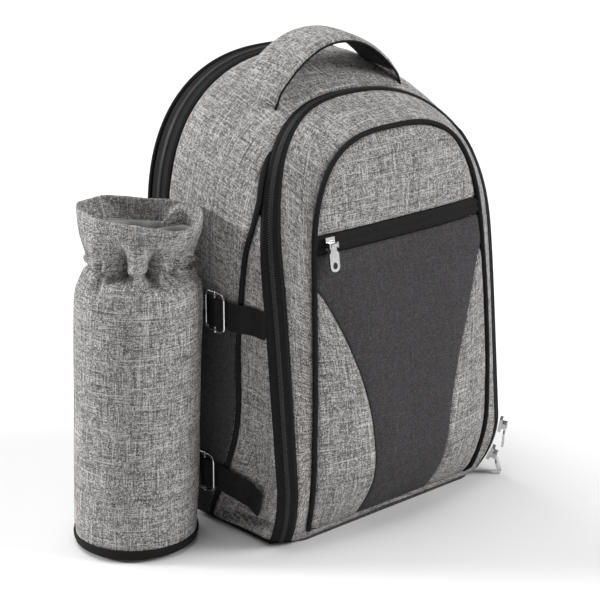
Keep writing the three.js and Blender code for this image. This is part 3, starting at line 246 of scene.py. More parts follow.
def bell(distance, breadth, power=2):
    """A smooth bump, 1 in its middle; a higher power makes it flatter with steeper sides."""
    return math.exp(-((abs(distance) / breadth) ** power))


def turned(degrees):
    """An angle brought between -180 and 180."""
    return (degrees + 180) % 360 - 180


def search(low, high, is_before):
    """The place between low and high up to which is_before holds."""
    for _ in range(40):
        middle = (low + high) / 2
        if is_before(middle):
            low = middle
        else:
            high = middle
    return (low + high) / 2


def lengths(points):
    """The length run at each of the points of a line."""
    run = [0.0]
    for a, b in zip(points, points[1:]):
        run.append(run[-1] + (b - a).length)
    return run


def divided(points, pieces_of):
    """A line of points with each of its stretches divided evenly."""
    dense = []
    for a, b in zip(points, points[1:]):
        pieces = pieces_of(a, b)
        dense += [a.lerp(b, k / pieces) for k in range(pieces)]
    return dense + [points[-1]]


def read_table(rows, column, height):
    """Reads a column of a table between its rows, smoothly, at a place along its height column."""
    if height <= rows[0]["height"]:
        return rows[0][column]
    if height >= rows[-1]["height"]:
        return rows[-1][column]
    row = 0
    while height >= rows[row + 1]["height"]:
        row += 1
    here, there = rows[row], rows[row + 1]
    span = there["height"] - here["height"]
    t = (height - here["height"]) / span
    before = rows[max(row - 1, 0)]
    after = rows[min(row + 2, len(rows) - 1)]
    slope_in = (there[column] - before[column]) / (there["height"] - before["height"])
    slope_out = (after[column] - here[column]) / (after["height"] - here["height"])
    return ((2 * t**3 - 3 * t**2 + 1) * here[column] + (t**3 - 2 * t**2 + t) * span * slope_in
            + (3 * t**2 - 2 * t**3) * there[column] + (t**3 - t**2) * span * slope_out)


def even(point, size, seed):
    """Smooth noise from about -1 to 1 that changes over a distance of size."""
    x, y = point
    return noise.noise(Vector((x / size, y / size, 7.3 * seed)))


class Bag:
    """The bag's shape in millimetres, worked out from the sizes in the sidebar."""

    def __init__(self, sizes):
        self.width = sizes.width / MM
        self.height = sizes.height / MM
        self.depth = sizes.depth / MM
        self.runs = {}
        self.centre = Vector((0, 0, CENTRE_HEIGHT * self.height))
        self.side_face = self.body(self.step_at_height("rear_seam", UPPER_STRAP_HEIGHT), 0.5).x
        self.patch_face = self.side_face + SEAM_GAP + SIDE_PATCH
        self.holder_x = -(self.patch_face + 2 * SEAM_GAP + WEBBING + CLEAR + HOLDER_RADIUS)

    def half_width(self, ring, z):
        ring = RINGS[ring]
        low = max(0.0, 1 - z / (ring["foot_height"] * self.height))
        share = 1 - ring["taper"] * (z / (ring["height"] * self.height)) ** 2
        return 0.5 * self.width * ring["width"] * share - ring["foot_in"] * self.width * low**2

    def ring_depth(self, ring, z):
        ring = RINGS[ring]
        top, start = ring["height"] * self.height, ring["lean_from"] * self.height
        rise = max(0.0, (z - start) / (top - start))
        low = max(0.0, 1 - z / (ring["foot_height"] * self.height))
        back = ring["drift"] * rise + ring["lean"] * rise ** ring["lean_power"]
        return REAR_EDGE_Y - self.depth * (ring["belly"] - back - ring["foot"] * low**2)

    def arch(self, name, u, low=LOW):
        """Point of a ring: u runs from -1, low on the left, over the top at 0 to 1."""
        ring = RINGS[name]
        top = ring["height"] * self.height
        spring = ring["spring"] * top
        a = abs(u)
        if a >= SIDE_SHARE:
            z, narrowing = lerp(low, spring, (1 - a) / (1 - SIDE_SHARE)), 1.0
        else:
            angle = (1 - a / SIDE_SHARE) * math.pi / 2
            z = spring + (top - spring) * math.sin(angle) ** (2 / ring["power"])
            narrowing = max(0.0, math.cos(angle)) ** (2 / ring["power"])
        if a < 1e-9:
            narrowing = 0.0
        x = math.copysign(self.half_width(name, z) * narrowing, u)
        return Vector((x, self.ring_depth(name, z), z))

    def closed_outline(self, name, t, bottom, corner):
        """Point at the share t round a ring that also runs along its bottom, from low left."""
        if t <= ARCH_SHARE:
            return self.arch(name, self.arch_step(name, t / ARCH_SHARE), bottom + corner)
        half = self.arch(name, 1, bottom + corner).x - corner
        t = (t - ARCH_SHARE) / (1 - ARCH_SHARE)
        if CORNER_SHARE <= t <= 1 - CORNER_SHARE:
            x = lerp(half, -half, (t - CORNER_SHARE) / (1 - 2 * CORNER_SHARE))
            return Vector((x, self.ring_depth(name, bottom), bottom))
        angle = math.pi / 2 * min(t, 1 - t) / CORNER_SHARE
        z = bottom + corner * (1 - math.sin(angle))
        x = math.copysign(half + corner * math.cos(angle), 0.5 - t)
        return Vector((x, self.ring_depth(name, z), z))

    def arch_step(self, name, t):
        """Where on a ring the share t of its length lies."""
        if name not in self.runs:
            self.runs[name] = lengths([self.arch(name, i / ARCH_STEPS - 1)
                                       for i in range(2 * ARCH_STEPS + 1)])
        run = self.runs[name]
        goal = clamp(t) * run[-1]
        low = min(bisect_right(run, goal), 2 * ARCH_STEPS) - 1
        share = (goal - run[low]) / (run[low + 1] - run[low])
        return lerp(low / ARCH_STEPS - 1, (low + 1) / ARCH_STEPS - 1, share)

    def body(self, u, reach):
        rear, front = self.arch("rear_seam", u), self.arch("front_seam", u)
        crown = 1 - min(1.0, abs(u) / SIDE_SHARE)
        outward = Vector((math.copysign(1 - crown, u), 0, crown)).normalized()
        fullness = BODY_FULLNESS * (0.3 + 0.7 * min(1.0, 2 * crown))
        return rear.lerp(front, reach) + outward * (fullness * 4 * reach * (1 - reach))

    def body_length(self, u):
        return (self.body(u, 0) - self.body(u, 1)).length

    def piping_reach(self, u):
        rear, front = self.arch("rear_seam", u), self.arch("front_seam", u)
        most = 1 - (PIPING + 2 * SEAM_GAP) / (rear - front).length
        return min(most, read_table(SIDE_PIPING, "reach", front.z / self.height))

    def cord_sink(self, u):
        """How deep the side piping runs under the gusset's rolled edge, at the crown only."""
        share = self.arch("front_seam", u).z / self.height
        return CORD_SINK * clamp((share - CORD_SINK_FROM) / 0.05)

    def step_at_height(self, ring, z):
        return search(0.0, 1.0, lambda u: self.arch(ring, u).z > z)

    def step_at_half_width(self, half, reach):
        return search(0.0, SIDE_SHARE, lambda u: self.body(u, reach).x < half)

    def wedge(self, side, u, share):
        length = self.body_length(u)
        start = self.piping_reach(u) + CLEAR / length
        point = self.body(side * u, lerp(start, 1, share))
        draw = WEDGE_DRAW * (1 - start) * length * math.sin(math.pi * share)
        return point + Vector((-side * draw, 0, 0))

    def face_rise(self, z):
        """How far up the face's arch a height lies, the arch's power and its top."""
        ring = RINGS["face"]
        top = ring["height"] * self.height
        spring = ring["spring"] * top
        return max(0.0, (z - spring) / (top - spring)), ring["power"], top

    def face_half_width(self, z):
        rise, power, _ = self.face_rise(z)
        narrowing = (1 - min(rise, 1.0) ** power) ** (1 / power)
        corner_rise = max(0.0, 1 - (z - FACE_BOTTOM) / FACE_CORNER)
        corner = FACE_CORNER * (1 - math.sqrt(max(0.0, 1 - corner_rise**2)))
        return self.half_width("face", z) * narrowing - corner

    def face(self, x, z):
        """Point of the crowned face, which sinks to its piping all round."""
        rise, power, top = self.face_rise(z)
        across = min(1.0, abs(x) / self.half_width("face", z))
        full = max(0.0, 1 - across**power - rise**power)
        foot = clamp((z - FACE_BOTTOM) / (FACE_FOOT * top))
        upper = 1 - FACE_DIP * bell(z / top - FACE_DIP_HEIGHT, FACE_DIP_BREADTH)
        crown = FACE_CROWN * full * math.sin(foot * math.pi / 2) * upper
        return Vector((x, self.ring_depth("face", z) - crown, z))

    def dark_half_width(self, z):
        return 0.5 * DARK_PANEL_WIDTH * read_table(DARK_PANEL, "half", z / POCKET_ZIP_HEIGHT)

    def holder_axis(self, z):
        lean = HOLDER_LEAN * (z - UPPER_STRAP_HEIGHT) / UPPER_STRAP_HEIGHT
        return Vector((self.holder_x + lean, HOLDER_Y - 0.5 * lean, z))

    def holder(self, share, angle, inset):
        """Point of the bottle holder at a share of its height and an angle round its axis."""
        radius, oval = (read_table(HOLDER_SECTIONS, key, share) for key in ("radius", "oval"))
        radius *= HOLDER_RADIUS * (1 - oval * math.sin(angle - math.radians(HOLDER_OVAL_TURN)) ** 2)
        z = HOLDER_LIFT + share * (HOLDER_HEIGHT - HOLDER_LIFT)
        turn = turned(math.degrees(angle) + HOLDER_TURN)
        radius += neck_folds(turn, z) - inset
        above = clamp((share - COLLAR_FROM) / (1 - COLLAR_FROM))
        if above > 0:
            rim, rise = collar_rim(turn)
            radius = lerp(radius, rim - inset, above**1.5)
            pleat = bell(turn - PLEAT_TURN, PLEAT_BREADTH, 1.5)
            radius -= PLEAT_DEPTH * pleat * clamp((0.9 - above) / 0.3) * clamp(above / 0.2)
            z += (rise - HOLDER_HEIGHT) * above
        axis = self.holder_axis(z)
        return Vector((axis.x + radius * math.cos(angle), axis.y + radius * math.sin(angle), z))


def neck_folds(turn, z):
    """How far the gathers press the holder's neck in or out, in millimetres."""
    away = z - (HOLDER_LIFT + WAIST * (HOLDER_HEIGHT - HOLDER_LIFT))
    total = 0.0
    for fold in NECK_FOLDS:
        reach = fold["above"] if away > 0 else fold["below"]
        strength = bell(away, reach, FOLD_FADE_POWER) if abs(away) < 2 * reach else 0.0
        if strength < 0.01:
            continue
        place = fold["turn"] + fold["lean"] * clamp(away / FOLD_LEAN_HEIGHT)
        off = abs(turned(turn - place))
        breadth = fold["breadth"] * (1 + FOLD_WIDENING * clamp(abs(away) / reach))
        shoulder = FOLD_SHOULDER * bell(off - FOLD_SHOULDER_PLACE * breadth, breadth)
        total += fold["depth"] * strength * (shoulder - bell(off, breadth, 1.5))
    radians = math.radians(turn)
    frill = math.sin(radians * 41 + 2.5 * math.sin(5 * radians)) + 0.6 * math.sin(radians * 67)
    lip = bell(away - 5, 3) - 1.6 * bell(away, 2)
    return total + FRILL * bell(away, FRILL_HEIGHT) * frill + WAIST_LIP * lip


def collar_rim(turn):
    """Radius and height of the collar's rim, which runs straight from corner to corner."""
    radius, rise = 0.0, 0.0
    for near in (-3.0, 0.0, 3.0):
        place = turned(turn + near)
        row = max(k for k in range(len(COLLAR_RIM) - 1) if COLLAR_RIM[k]["turn"] <= place)
        here, there = COLLAR_RIM[row], COLLAR_RIM[row + 1]
        span = math.radians(there["turn"] - here["turn"])
        off = math.radians(place - here["turn"])
        radius += (here["radius"] * there["radius"] * math.sin(span)
                   / (here["radius"] * math.sin(off) + there["radius"] * math.sin(span - off))) / 3
        rise += lerp(here["rise"], there["rise"], off / span) / 3
    return radius, rise


def new_piece(name, mesh, body="bag", smooth=True):
    """Makes an object of a mesh under construction, which rides on a body of the frame."""
    data = bpy.data.meshes.new(name)
    for face in mesh.faces:
        face.smooth = smooth
    mesh.to_mesh(data)
    mesh.free()
    piece = bpy.data.objects.new(name, data)
    bpy.context.scene.collection.objects.link(piece)
    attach(piece, body)
    return piece


def coat(thing, finish):
    thing.data.materials.clear()
    thing.data.materials.append(bpy.data.materials[f"{finish}_finish"])


def dress(piece, finish, stands_for=(), slot=None):
    """Gives a piece its finish, and hides the nodes of the frame that it stands for."""
    coat(piece, finish)
    slot = slot or finish
    if stands_for:
        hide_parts(*stands_for)
    return piece


def soften_edges(thing, width, only_sharp=False):
    bevel = thing.modifiers.new("Edges", "BEVEL")
    bevel.width = width * MM
    bevel.segments = 2
    if only_sharp:
        bevel.limit_method = "ANGLE"


def thicken(piece, wall, fine=1):
    """Gives a sheet its wall, on the inner side, and rounds it."""
    if wall:
        solid = piece.modifiers.new("Wall", "SOLIDIFY")
        solid.thickness = wall * MM
        solid.offset = -1
    if fine:
        rounding = piece.modifiers.new("Rounding", "SUBSURF")
        rounding.levels = fine
        rounding.render_levels = fine
    return piece


def laid_grid(n, m, yarns_at, point_at):
    """A grid of n by m cells on points in millimetres, with a UV map that measures metres."""
    mesh = bmesh.new()
    uv = mesh.loops.layers.uv.new("UVMap")
    bmesh.ops.create_grid(mesh, x_segments=n, y_segments=m, size=0.5)
    where = {vert: (round((vert.co.x + 0.5) * n), round((vert.co.y + 0.5) * m))
             for vert in mesh.verts}
    for face in mesh.faces:
        for loop in face.loops:
            loop[uv].uv = [length * MM for length in yarns_at(*where[loop.vert])]
    for vert, spot in where.items():
        vert.co = point_at(*spot) * MM
    return mesh


def close_ends(mesh):
    bmesh.ops.holes_fill(mesh, edges=[edge for edge in mesh.edges if edge.is_boundary])
    bmesh.ops.recalc_face_normals(mesh, faces=mesh.faces[:])


class Lay:
    """A grid of points laid out in millimetres, with the lengths along it and its outward side."""

    def __init__(self, cells, place, centre, closed=False):
        self.n, self.m = cells
        self.closed = closed
        columns, rows = range(self.n + 1), range(self.m + 1)
        self.points = [[place(i / self.n, j / self.m) for i in columns] for j in rows]
        self.out = [[self.normal(i, j) for i in columns] for j in rows]
        total = 0.0
        for points, normals in zip(self.points, self.out):
            for point, normal in zip(points, normals):
                middle = centre(point) if callable(centre) else centre
                total += normal.dot((point - middle).normalized())
        self.flipped = total < 0
        if self.flipped:
            self.out = [[-normal for normal in row] for row in self.out]
        self.along = [lengths(row) for row in self.points]
        self.across = [lengths([row[i] for row in self.points]) for i in columns]

    def normal(self, i, j):
        before, after = max(i - 1, 0), min(i + 1, self.n)
        if self.closed:
            before, after = (i - 1) % self.n, (i + 1) % self.n
        along = self.points[j][after] - self.points[j][before]
        across = self.points[min(j + 1, self.m)][i] - self.points[max(j - 1, 0)][i]
        normal = along.cross(across)
        return normal.normalized() if normal.length > 1e-9 else Vector((0, 0, 1))

    def sew(self, shift=None, wrap_across=False, caps=False, weave="panel"):
        """Moves a flat grid of cloth onto the points, each shifted outwards by shift(i, j).

        weave says how the yarns run: straight over a panel, along a strip, or round a tube.
        """
        middle = self.n // 2
        level = [sum(column[j] for column in self.across) / (self.n + 1) for j in range(self.m + 1)]

        def yarns_at(i, j):
            row = self.along[{"panel": j, "strip": self.m // 2, "tube": 2}[weave]]
            return row[i] - row[middle], level[j] if weave == "tube" else self.across[i][j]

        def point_at(i, j):
            return self.points[j][i] + self.out[j][i] * (shift(i, j) if shift else 0.0)
        mesh = laid_grid(self.n, self.m, yarns_at, point_at)
        if self.flipped:
            bmesh.ops.reverse_faces(mesh, faces=mesh.faces[:])
        if self.closed or wrap_across:
            bmesh.ops.remove_doubles(mesh, verts=mesh.verts[:], dist=1e-6)
        if caps:
            close_ends(mesh)
        return mesh


def panel(name, cells, place, centre, seams=(0, 0, 0, 0), swell=0.0, ripple=0.5, pucker=0.35,
          wall=CLOTH, closed=False, seed=1, relief=None, fine=1, weave="panel"):
    """A sewn panel: it sinks into each of its seams, puckers along them and ripples a little.

    seams holds how deep it sinks at its start, end, low and high side.
    """
    lay = Lay(cells, place, centre, closed)

    def shift(i, j):
        if closed and i in (0, lay.n):
            return 0.0
        long, wide = lay.along[j][-1], lay.across[i][-1]
        a, b = lay.along[j][i], lay.across[i][j]
        amount, fade = 0.0, 1.0
        for distance, sink, run in zip((a, long - a, b, wide - b), seams, (b, b, a, a)):
            if sink:
                amount -= sink * bell(distance, SEAM_BREADTH)
                near = math.exp(-distance / PUCKER_REACH)
                amount += pucker * near * even((run, distance * 0.4), PUCKER_SIZE, seed)
                fade *= 1 - bell(distance, SEAM_FADE)
        amount += swell * fade
        waves = even((a, b), WAVE, seed + 1) + 0.4 * even((a, b), SMALL_WAVE, seed + 2)
        amount += ripple * (0.25 + 0.75 * fade) * waves
        return amount + (relief(a, b, long, wide) if relief else 0.0)
    return thicken(new_piece(name, lay.sew(shift, weave=weave)), wall, fine)


def tube(name, points, radius, sides=12, ring=False, flat=1.0):
    """A cord along points in millimetres."""
    count = len(points)
    run = lengths(points)
    frames = []
    up = Vector((0.13, 0.21, 0.97))
    for k, point in enumerate(points):
        before, after = points[max(k - 1, 0)], points[min(k + 1, count - 1)]
        if ring:
            before, after = points[(k - 1) % (count - 1)], points[(k + 1) % (count - 1)]
        along = (after - before).normalized()
        side = along.cross(up)
        if side.length < 0.05:
            side = along.orthogonal()
        side.normalize()
        up = side.cross(along).normalized()
        frames.append((point, side, up))

    def point_at(k, j):
        point, side, up = frames[k]
        angle = 2 * math.pi * j / sides
        return point + side * radius * math.cos(angle) + up * radius * flat * math.sin(angle)
    mesh = laid_grid(count - 1, sides, lambda k, j: (run[k], 2 * math.pi * radius * j / sides),
                     point_at)
    bmesh.ops.remove_doubles(mesh, verts=mesh.verts[:], dist=2e-6)
    if ring:
        bmesh.ops.recalc_face_normals(mesh, faces=mesh.faces[:])
    else:
        close_ends(mesh)
    return new_piece(name, mesh)


def ribbon(name, points, outs, width, thick):
    """A flat strap along points, whose face looks the way that outs says at each."""
    count, cells = len(points), 6
    run = lengths(points)

    def point_at(k, j):
        before, after = points[max(k - 1, 0)], points[min(k + 1, count - 1)]
        along = (after - before).normalized()
        across = along.cross(outs[k]).normalized()
        out = across.cross(along).normalized()
        return points[k] + across * (j / cells - 0.5) * width + out * 0.5 * thick
    mesh = laid_grid(count - 1, cells, lambda k, j: (run[k], width * j / cells), point_at)
    bmesh.ops.recalc_face_normals(mesh, faces=mesh.faces[:])
    mesh.faces.ensure_lookup_table()
    if mesh.faces[len(mesh.faces) // 2].normal.dot(outs[count // 2]) < 0:
        bmesh.ops.reverse_faces(mesh, faces=mesh.faces[:])
    return thicken(new_piece(name, mesh), thick)


def spaced(points, gap):
    """Places and directions at even distances along a line of points."""
    run = lengths(points)
    places = []
    at, k = 0.5 * gap, 0
    while at < run[-1]:
        while run[k + 1] < at:
            k += 1
        t = (at - run[k]) / max(run[k + 1] - run[k], 1e-9)
        along = (points[k + 1] - points[k]).normalized()
        places.append((points[k].lerp(points[k + 1], t), along, k + t))
        at += gap
    return places


def row_of(name, points, outs, gap, size, kind="stitch", shifts=(0.0,), lift=0.0):
    """Many small repeated pieces along a line: stitches or zip teeth of size along, across, out."""
    mesh = bmesh.new()
    for number, shift in enumerate(shifts):
        for point, along, k in spaced(points, gap):
            low = min(int(k), len(outs) - 1)
            high = min(low + 1, len(outs) - 1)
            out = outs[low].lerp(outs[high], k - int(k)).normalized()
            across = along.cross(out).normalized()
            out = across.cross(along)
            spot = point + across * shift + out * lift
            if number % 2:
                spot = spot + along * 0.5 * gap
            turn = Matrix((along * size[0], across * size[1], out * size[2])).transposed().to_4x4()
            place = Matrix.Translation(spot * MM) @ turn @ Matrix.Scale(MM, 4)
            if kind == "stitch":
                bmesh.ops.create_icosphere(mesh, subdivisions=1, radius=0.5, matrix=place)
            else:
                bmesh.ops.create_cube(mesh, size=1.0, matrix=place)
    return new_piece(name, mesh, smooth=kind == "stitch")


# Materials


class Value:
    """A value in a material's tree, which can be used in sums."""

    def __init__(self, finish, socket):
        self.finish = finish
        self.socket = socket

    def __add__(self, other):
        return self.finish.maths("ADD", self, other)

    def __radd__(self, other):
        return self.finish.maths("ADD", other, self)

    def __sub__(self, other):
        return self.finish.maths("SUBTRACT", self, other)

    def __rsub__(self, other):
        return self.finish.maths("SUBTRACT", other, self)

    def __mul__(self, other):
        return self.finish.maths("MULTIPLY", self, other)


class Finish:
    """A material under construction."""

    def __init__(self, name, roughness=0.6, metallic=0.0, specular=0.5):
        self.material = bpy.data.materials.new(f"{name}_finish")
        self.material.use_nodes = True
        self.tree = self.material.node_tree
        self.shader = self.tree.nodes["Principled BSDF"]
        self.shader.inputs["Roughness"].default_value = roughness
        self.shader.inputs["Metallic"].default_value = metallic
        self.shader.inputs["Specular IOR Level"].default_value = specular

    def node(self, kind, settings=None, output=0, **values):
        """Adds a node: its settings first, then the values or links of its sockets."""
        made = self.tree.nodes.new(kind)
        for key, value in (settings or {}).items():
            if key == "stops":
                self.set_stops(made.color_ramp, value)
            else:
                setattr(made, key, value)
        for key, value in values.items():
            self.plug(made.inputs[int(key[1:]) if key[0] == "_" else key.replace("_", " ")], value)
        return Value(self, made.outputs[output])

    def plug(self, socket, value):
        """Links a value of the tree to a socket, or sets a plain one there."""
        if isinstance(value, Value):
            self.tree.links.new(value.socket, socket)
        else:
            socket.default_value = value

    @staticmethod
    def set_stops(ramp, stops):
        while len(ramp.elements) < len(stops):
            ramp.elements.new(0.5)
        for element, (position, colour) in zip(ramp.elements, stops):
            element.position = position
            element.color = (*colour, 1)

    def maths(self, operation, *values):
        sockets = {f"_{index}": value for index, value in enumerate(values)}
        return self.node("ShaderNodeMath", {"operation": operation}, **sockets)

    def ridges(self, value):
        """Rounded ridges, one to each unit of a value."""
        return self.maths("ABSOLUTE", self.maths("SINE", value * math.pi))

    def surface(self):
        """The piece's own UV map, whose unit is a metre along the cloth."""
        return self.split(self.node("ShaderNodeUVMap", {"uv_map": "UVMap"}))

    def object_place(self):
        """The place on the object, in metres."""
        return self.split(self.node("ShaderNodeTexCoord", output=3))

    def split(self, vector):
        made = self.tree.nodes.new("ShaderNodeSeparateXYZ")
        self.tree.links.new(vector.socket, made.inputs[0])
        return tuple(Value(self, socket) for socket in made.outputs)

    def join(self, x, y, z=0.0):
        return self.node("ShaderNodeCombineXYZ", X=x, Y=y, Z=z)

    def noise(self, x, y, z=0.0, detail=2.0):
        return self.node("ShaderNodeTexNoise", Vector=self.join(x, y, z), Scale=1.0,
                         Detail=detail, Roughness=0.5)

    def remap(self, value, low, high, to_low=0.0, to_high=1.0):
        return self.node("ShaderNodeMapRange", _0=value, _1=low, _2=high, _3=to_low, _4=to_high)

    def mix(self, first, second, share):
        """A mix of two colours."""
        values = {"_0": share, "_6": self.colour(first), "_7": self.colour(second)}
        return self.node("ShaderNodeMix", {"data_type": "RGBA"}, output=2, **values)

    @staticmethod
    def colour(value):
        return value if isinstance(value, Value) else (*value, 1.0)

    def set(self, **values):
        for key, value in values.items():
            self.plug(self.shader.inputs[key.replace("_", " ")], value)

    def bump(self, height, distance, strength=1.0):
        normal = self.node("ShaderNodeBump", Height=height, Distance=distance * MM,
                           Strength=strength)
        self.set(Normal=normal)


def melange(name, shades_of, pitch=0.68, contrast=1.0, on_surface=True):
    """Plain woven cloth of uneven yarns: slubs run both ways over a ground of even yarns.

    shades_of holds its dark, middle and light shade.
    """
    dark, base, light = shades_of
    cloth = Finish(name, roughness=0.95, specular=0.15)
    x, y, _ = cloth.surface() if on_surface else cloth.object_place()
    warp, weft = x * (1000 / pitch), y * (1000 / pitch)
    warp_yarn, weft_yarn = cloth.maths("FLOOR", warp), cloth.maths("FLOOR", weft)
    warp_shade = cloth.noise(warp_yarn * 3.17, weft * 0.16, detail=2.0)
    weft_shade = cloth.noise(warp * 0.16, weft_yarn * 2.71, 9.0, detail=2.0)
    over = cloth.maths("FLOORED_MODULO", warp_yarn + weft_yarn, 2.0)
    fleck = cloth.node("ShaderNodeTexWhiteNoise", {"noise_dimensions": "2D"},
                       Vector=cloth.join(warp_yarn, weft_yarn))
    cluster = cloth.noise(warp * 0.45, weft * 0.45, 3.0, detail=1.0)
    shade = (warp_shade * over + weft_shade * (1 - over) - 0.5) * (YARN_CONTRAST * contrast)
    shade = shade + (fleck - 0.5) * (FLECK_CONTRAST * contrast)
    shade = shade + (cluster - 0.5) * (CLUSTER_CONTRAST * contrast) + 0.5
    colour = cloth.node("ShaderNodeValToRGB", {"stops": [(0.0, dark), (0.5, base), (1.0, light)]},
                        Fac=shade)
    for low, high, colour_of in ((0.66, 0.73, light), (0.35, 0.29, dark)):
        upright = cloth.noise(warp_yarn * 5.3, weft * 0.022, 5.0 + 9 * low, detail=0.0)
        level = cloth.noise(warp * 0.018, weft_yarn * 4.9, 8.0 + 9 * low, detail=0.0)
        upright, level = cloth.remap(upright, low, high), cloth.remap(level, low, high)
        slub = upright * (0.4 + over * 0.5) + level * (0.9 - over * 0.5)
        share = cloth.remap(slub, 0.0, 1.0, 0.0, SLUB_CONTRAST * contrast**4)
        colour = cloth.mix(colour, colour_of, share)
    warm = tuple(clamp(c + t) for c, t in zip(base, (0.02, -0.01, 0.0)))
    hue = cloth.noise(warp_yarn * 1.3, weft_yarn * 1.7, 2.0, detail=0.0)
    cloth.set(Base_Color=cloth.mix(colour, warm, cloth.remap(hue, 0.5, 0.9, 0.0, 0.5)))
    height = cloth.ridges(warp) * (1 - over) + cloth.ridges(weft) * over
    cloth.bump(height + shade * 0.5, 0.16, 0.6)


def woven_band(name, shades_of, pitch=1.1, on_surface=True, roughness=0.75):
    """Ribbed black tape or webbing, its ribs along the strap, with painted shade in the grooves
    between the ribs.
    """
    cloth = Finish(name, roughness=roughness, specular=0.12)
    x, y, z = cloth.surface() if on_surface else cloth.object_place()
    y = y if on_surface else z
    along, across = x * (1000 / pitch), y * (1000 / pitch)
    slant = along + cloth.maths("FLOORED_MODULO", cloth.maths("FLOOR", across), 2.0) * 0.5
    height = cloth.ridges(across) * 0.7 + cloth.ridges(slant) * 0.5
    wear = cloth.noise(x * 120, y * 120, detail=3.0)
    # Colour follows the rib relief: the crests are painted lighter and the grooves darker, which is
    # painted shade; the wear noise adds uneven tone.
    cloth.set(Base_Color=cloth.mix(*shades_of, cloth.remap(height * 0.6 + wear, 0.4, 1.6)))
    cloth.bump(height, 0.22, 0.7)


def plain_finish(name, shades_of, roughness, scale=60.0, bump=0.03, metallic=0.0, specular=0.5):
    """A smooth finish with slight unevenness, for lining, plastic and metal."""
    made = Finish(name, roughness=roughness, metallic=metallic, specular=specular)
    place = made.object_place()
    uneven = made.noise(*(axis * scale for axis in place), detail=3.0)
    made.set(Base_Color=made.mix(*shades_of, uneven),
             Roughness=made.remap(uneven, 0.3, 0.7, roughness * 0.8, roughness * 1.2))
    made.bump(made.noise(*(axis * scale * 12 for axis in place), detail=2.0), bump)


def spacer_mesh(name):
    """Black spacer mesh with round holes, for the back, with painted shade in the holes."""
    cloth = Finish(name, roughness=0.85, specular=0.3)
    x, y, z = cloth.object_place()
    cells = cloth.node("ShaderNodeTexVoronoi", {"feature": "F1"}, Vector=cloth.join(x, z),
                       Scale=330.0, Randomness=0.12)
    # The holes are painted darker than the mesh round them: painted shade in the holes.
    hole = cloth.remap(cells, 0.18, 0.34)
    cloth.set(Base_Color=cloth.mix((0.004, 0.004, 0.004), (0.035, 0.035, 0.036), hole))
    cloth.bump(hole, 0.5, 0.8)


class BackpackSizes(bpy.types.PropertyGroup):
    """Sizes and colours of the backpack."""

    width: bpy.props.FloatProperty(
        name="Width", description="Width of the bag without its bottle holder",
        default=0.284, min=0.2, max=0.4, unit="LENGTH")
    height: bpy.props.FloatProperty(
        name="Height", description="Height of the bag without its handle",
        default=0.411, min=0.3, max=0.6, unit="LENGTH")
    depth: bpy.props.FloatProperty(
        name="Depth", description="Depth of the bag from its rear edge to its front piping",
        default=0.184, min=0.1, max=0.3, unit="LENGTH")
    melange: bpy.props.FloatVectorProperty(
        name="Grey cloth", description="Middle shade of the grey melange",
        default=(0.22, 0.215, 0.211), min=0, max=1, subtype="COLOR")
    charcoal: bpy.props.FloatVectorProperty(
        name="Charcoal cloth", description="Middle shade of the dark panel",
        default=(0.049, 0.048, 0.05), min=0, max=1, subtype="COLOR")
    trim: bpy.props.FloatVectorProperty(
        name="Trim", description="Colour of the piping, tapes and webbing",
        default=(0.006, 0.006, 0.0062), min=0, max=1, subtype="COLOR")
    tooth_gap: bpy.props.FloatProperty(
        name="Tooth spacing", description="Distance from one zip tooth to the next",
        default=0.0021, min=0.001, max=0.005, unit="LENGTH")
    stitch_gap: bpy.props.FloatProperty(
        name="Stitch spacing", description="Distance from one stitch to the next",
        default=0.0036, min=0.002, max=0.008, unit="LENGTH")


def shades(colour, *shares):
    return [tuple(min(1.0, c * share) for c in colour) for share in shares]


class BACKPACK_OT_finishes(bpy.types.Operator):
    """Mix the backpack's cloths, tapes, metals and plastics"""

    bl_idname = "backpack.finishes"
    bl_label = "Finishes"

    def execute(self, context):
        sizes = context.scene.backpack
        charcoal = shades(sizes.charcoal, 0.5, 1, 1.9)
        melange("melange", shades(sizes.melange, 0.18, 1, 2.95))
        melange("charcoal", charcoal, contrast=0.8)
        melange("charcoal_plain", charcoal, contrast=0.8, on_surface=False)
        trim = sizes.trim
        woven_band("webbing", shades(trim, 1, 3.5), pitch=1.5)
        woven_band("webbing_plain", shades(trim, 1, 3.5), pitch=1.5, on_surface=False)
        woven_band("binding", shades(trim, 1, 2.6), pitch=0.9)
        woven_band("zip_tape", shades(trim, 1, 2.6), pitch=0.7, roughness=0.7)
        woven_band("piping", shades(trim, 1, 2.6), pitch=0.6)
        # The teeth are coloured five to ten times as light as the tape: a painted glint standing in
        # for the coil's highlights.
        plain_finish("zip_coil", shades(trim, 5, 10), 0.5, specular=0.25)
        plain_finish("lining", [(0.24, 0.243, 0.247), (0.3, 0.303, 0.308)], 0.5, scale=40,
                     bump=0.08)
        plain_finish("metal", [(0.3, 0.3, 0.3), (0.86, 0.85, 0.85)], 0.2, scale=260.0, bump=0.01,
                     metallic=1.0)
        plain_finish("plastic", shades(trim, 1, 3), 0.45)
        plain_finish("thread", shades((1, 1, 1), 0.012, 0.03), 0.7)
        spacer_mesh("black_cloth")
        return {"FINISHED"}


def zip_relief(a, b, long, wide):
    """Relief across a zip band: a corded ridge along each edge and the raised track between."""
    off = b - 0.5 * wide
    return 0.8 * bell(abs(off) - 0.38 * wide, 1.0) + 0.3 * bell(off, 2.6, 4)


def pocket_zip_relief(a, b, long, wide):
    """Two corded ridges along the pocket's zip."""
    return 1.3 * bell(b - 0.28 * wide, 2.2) + 1.3 * bell(b - 0.72 * wide, 2.2)


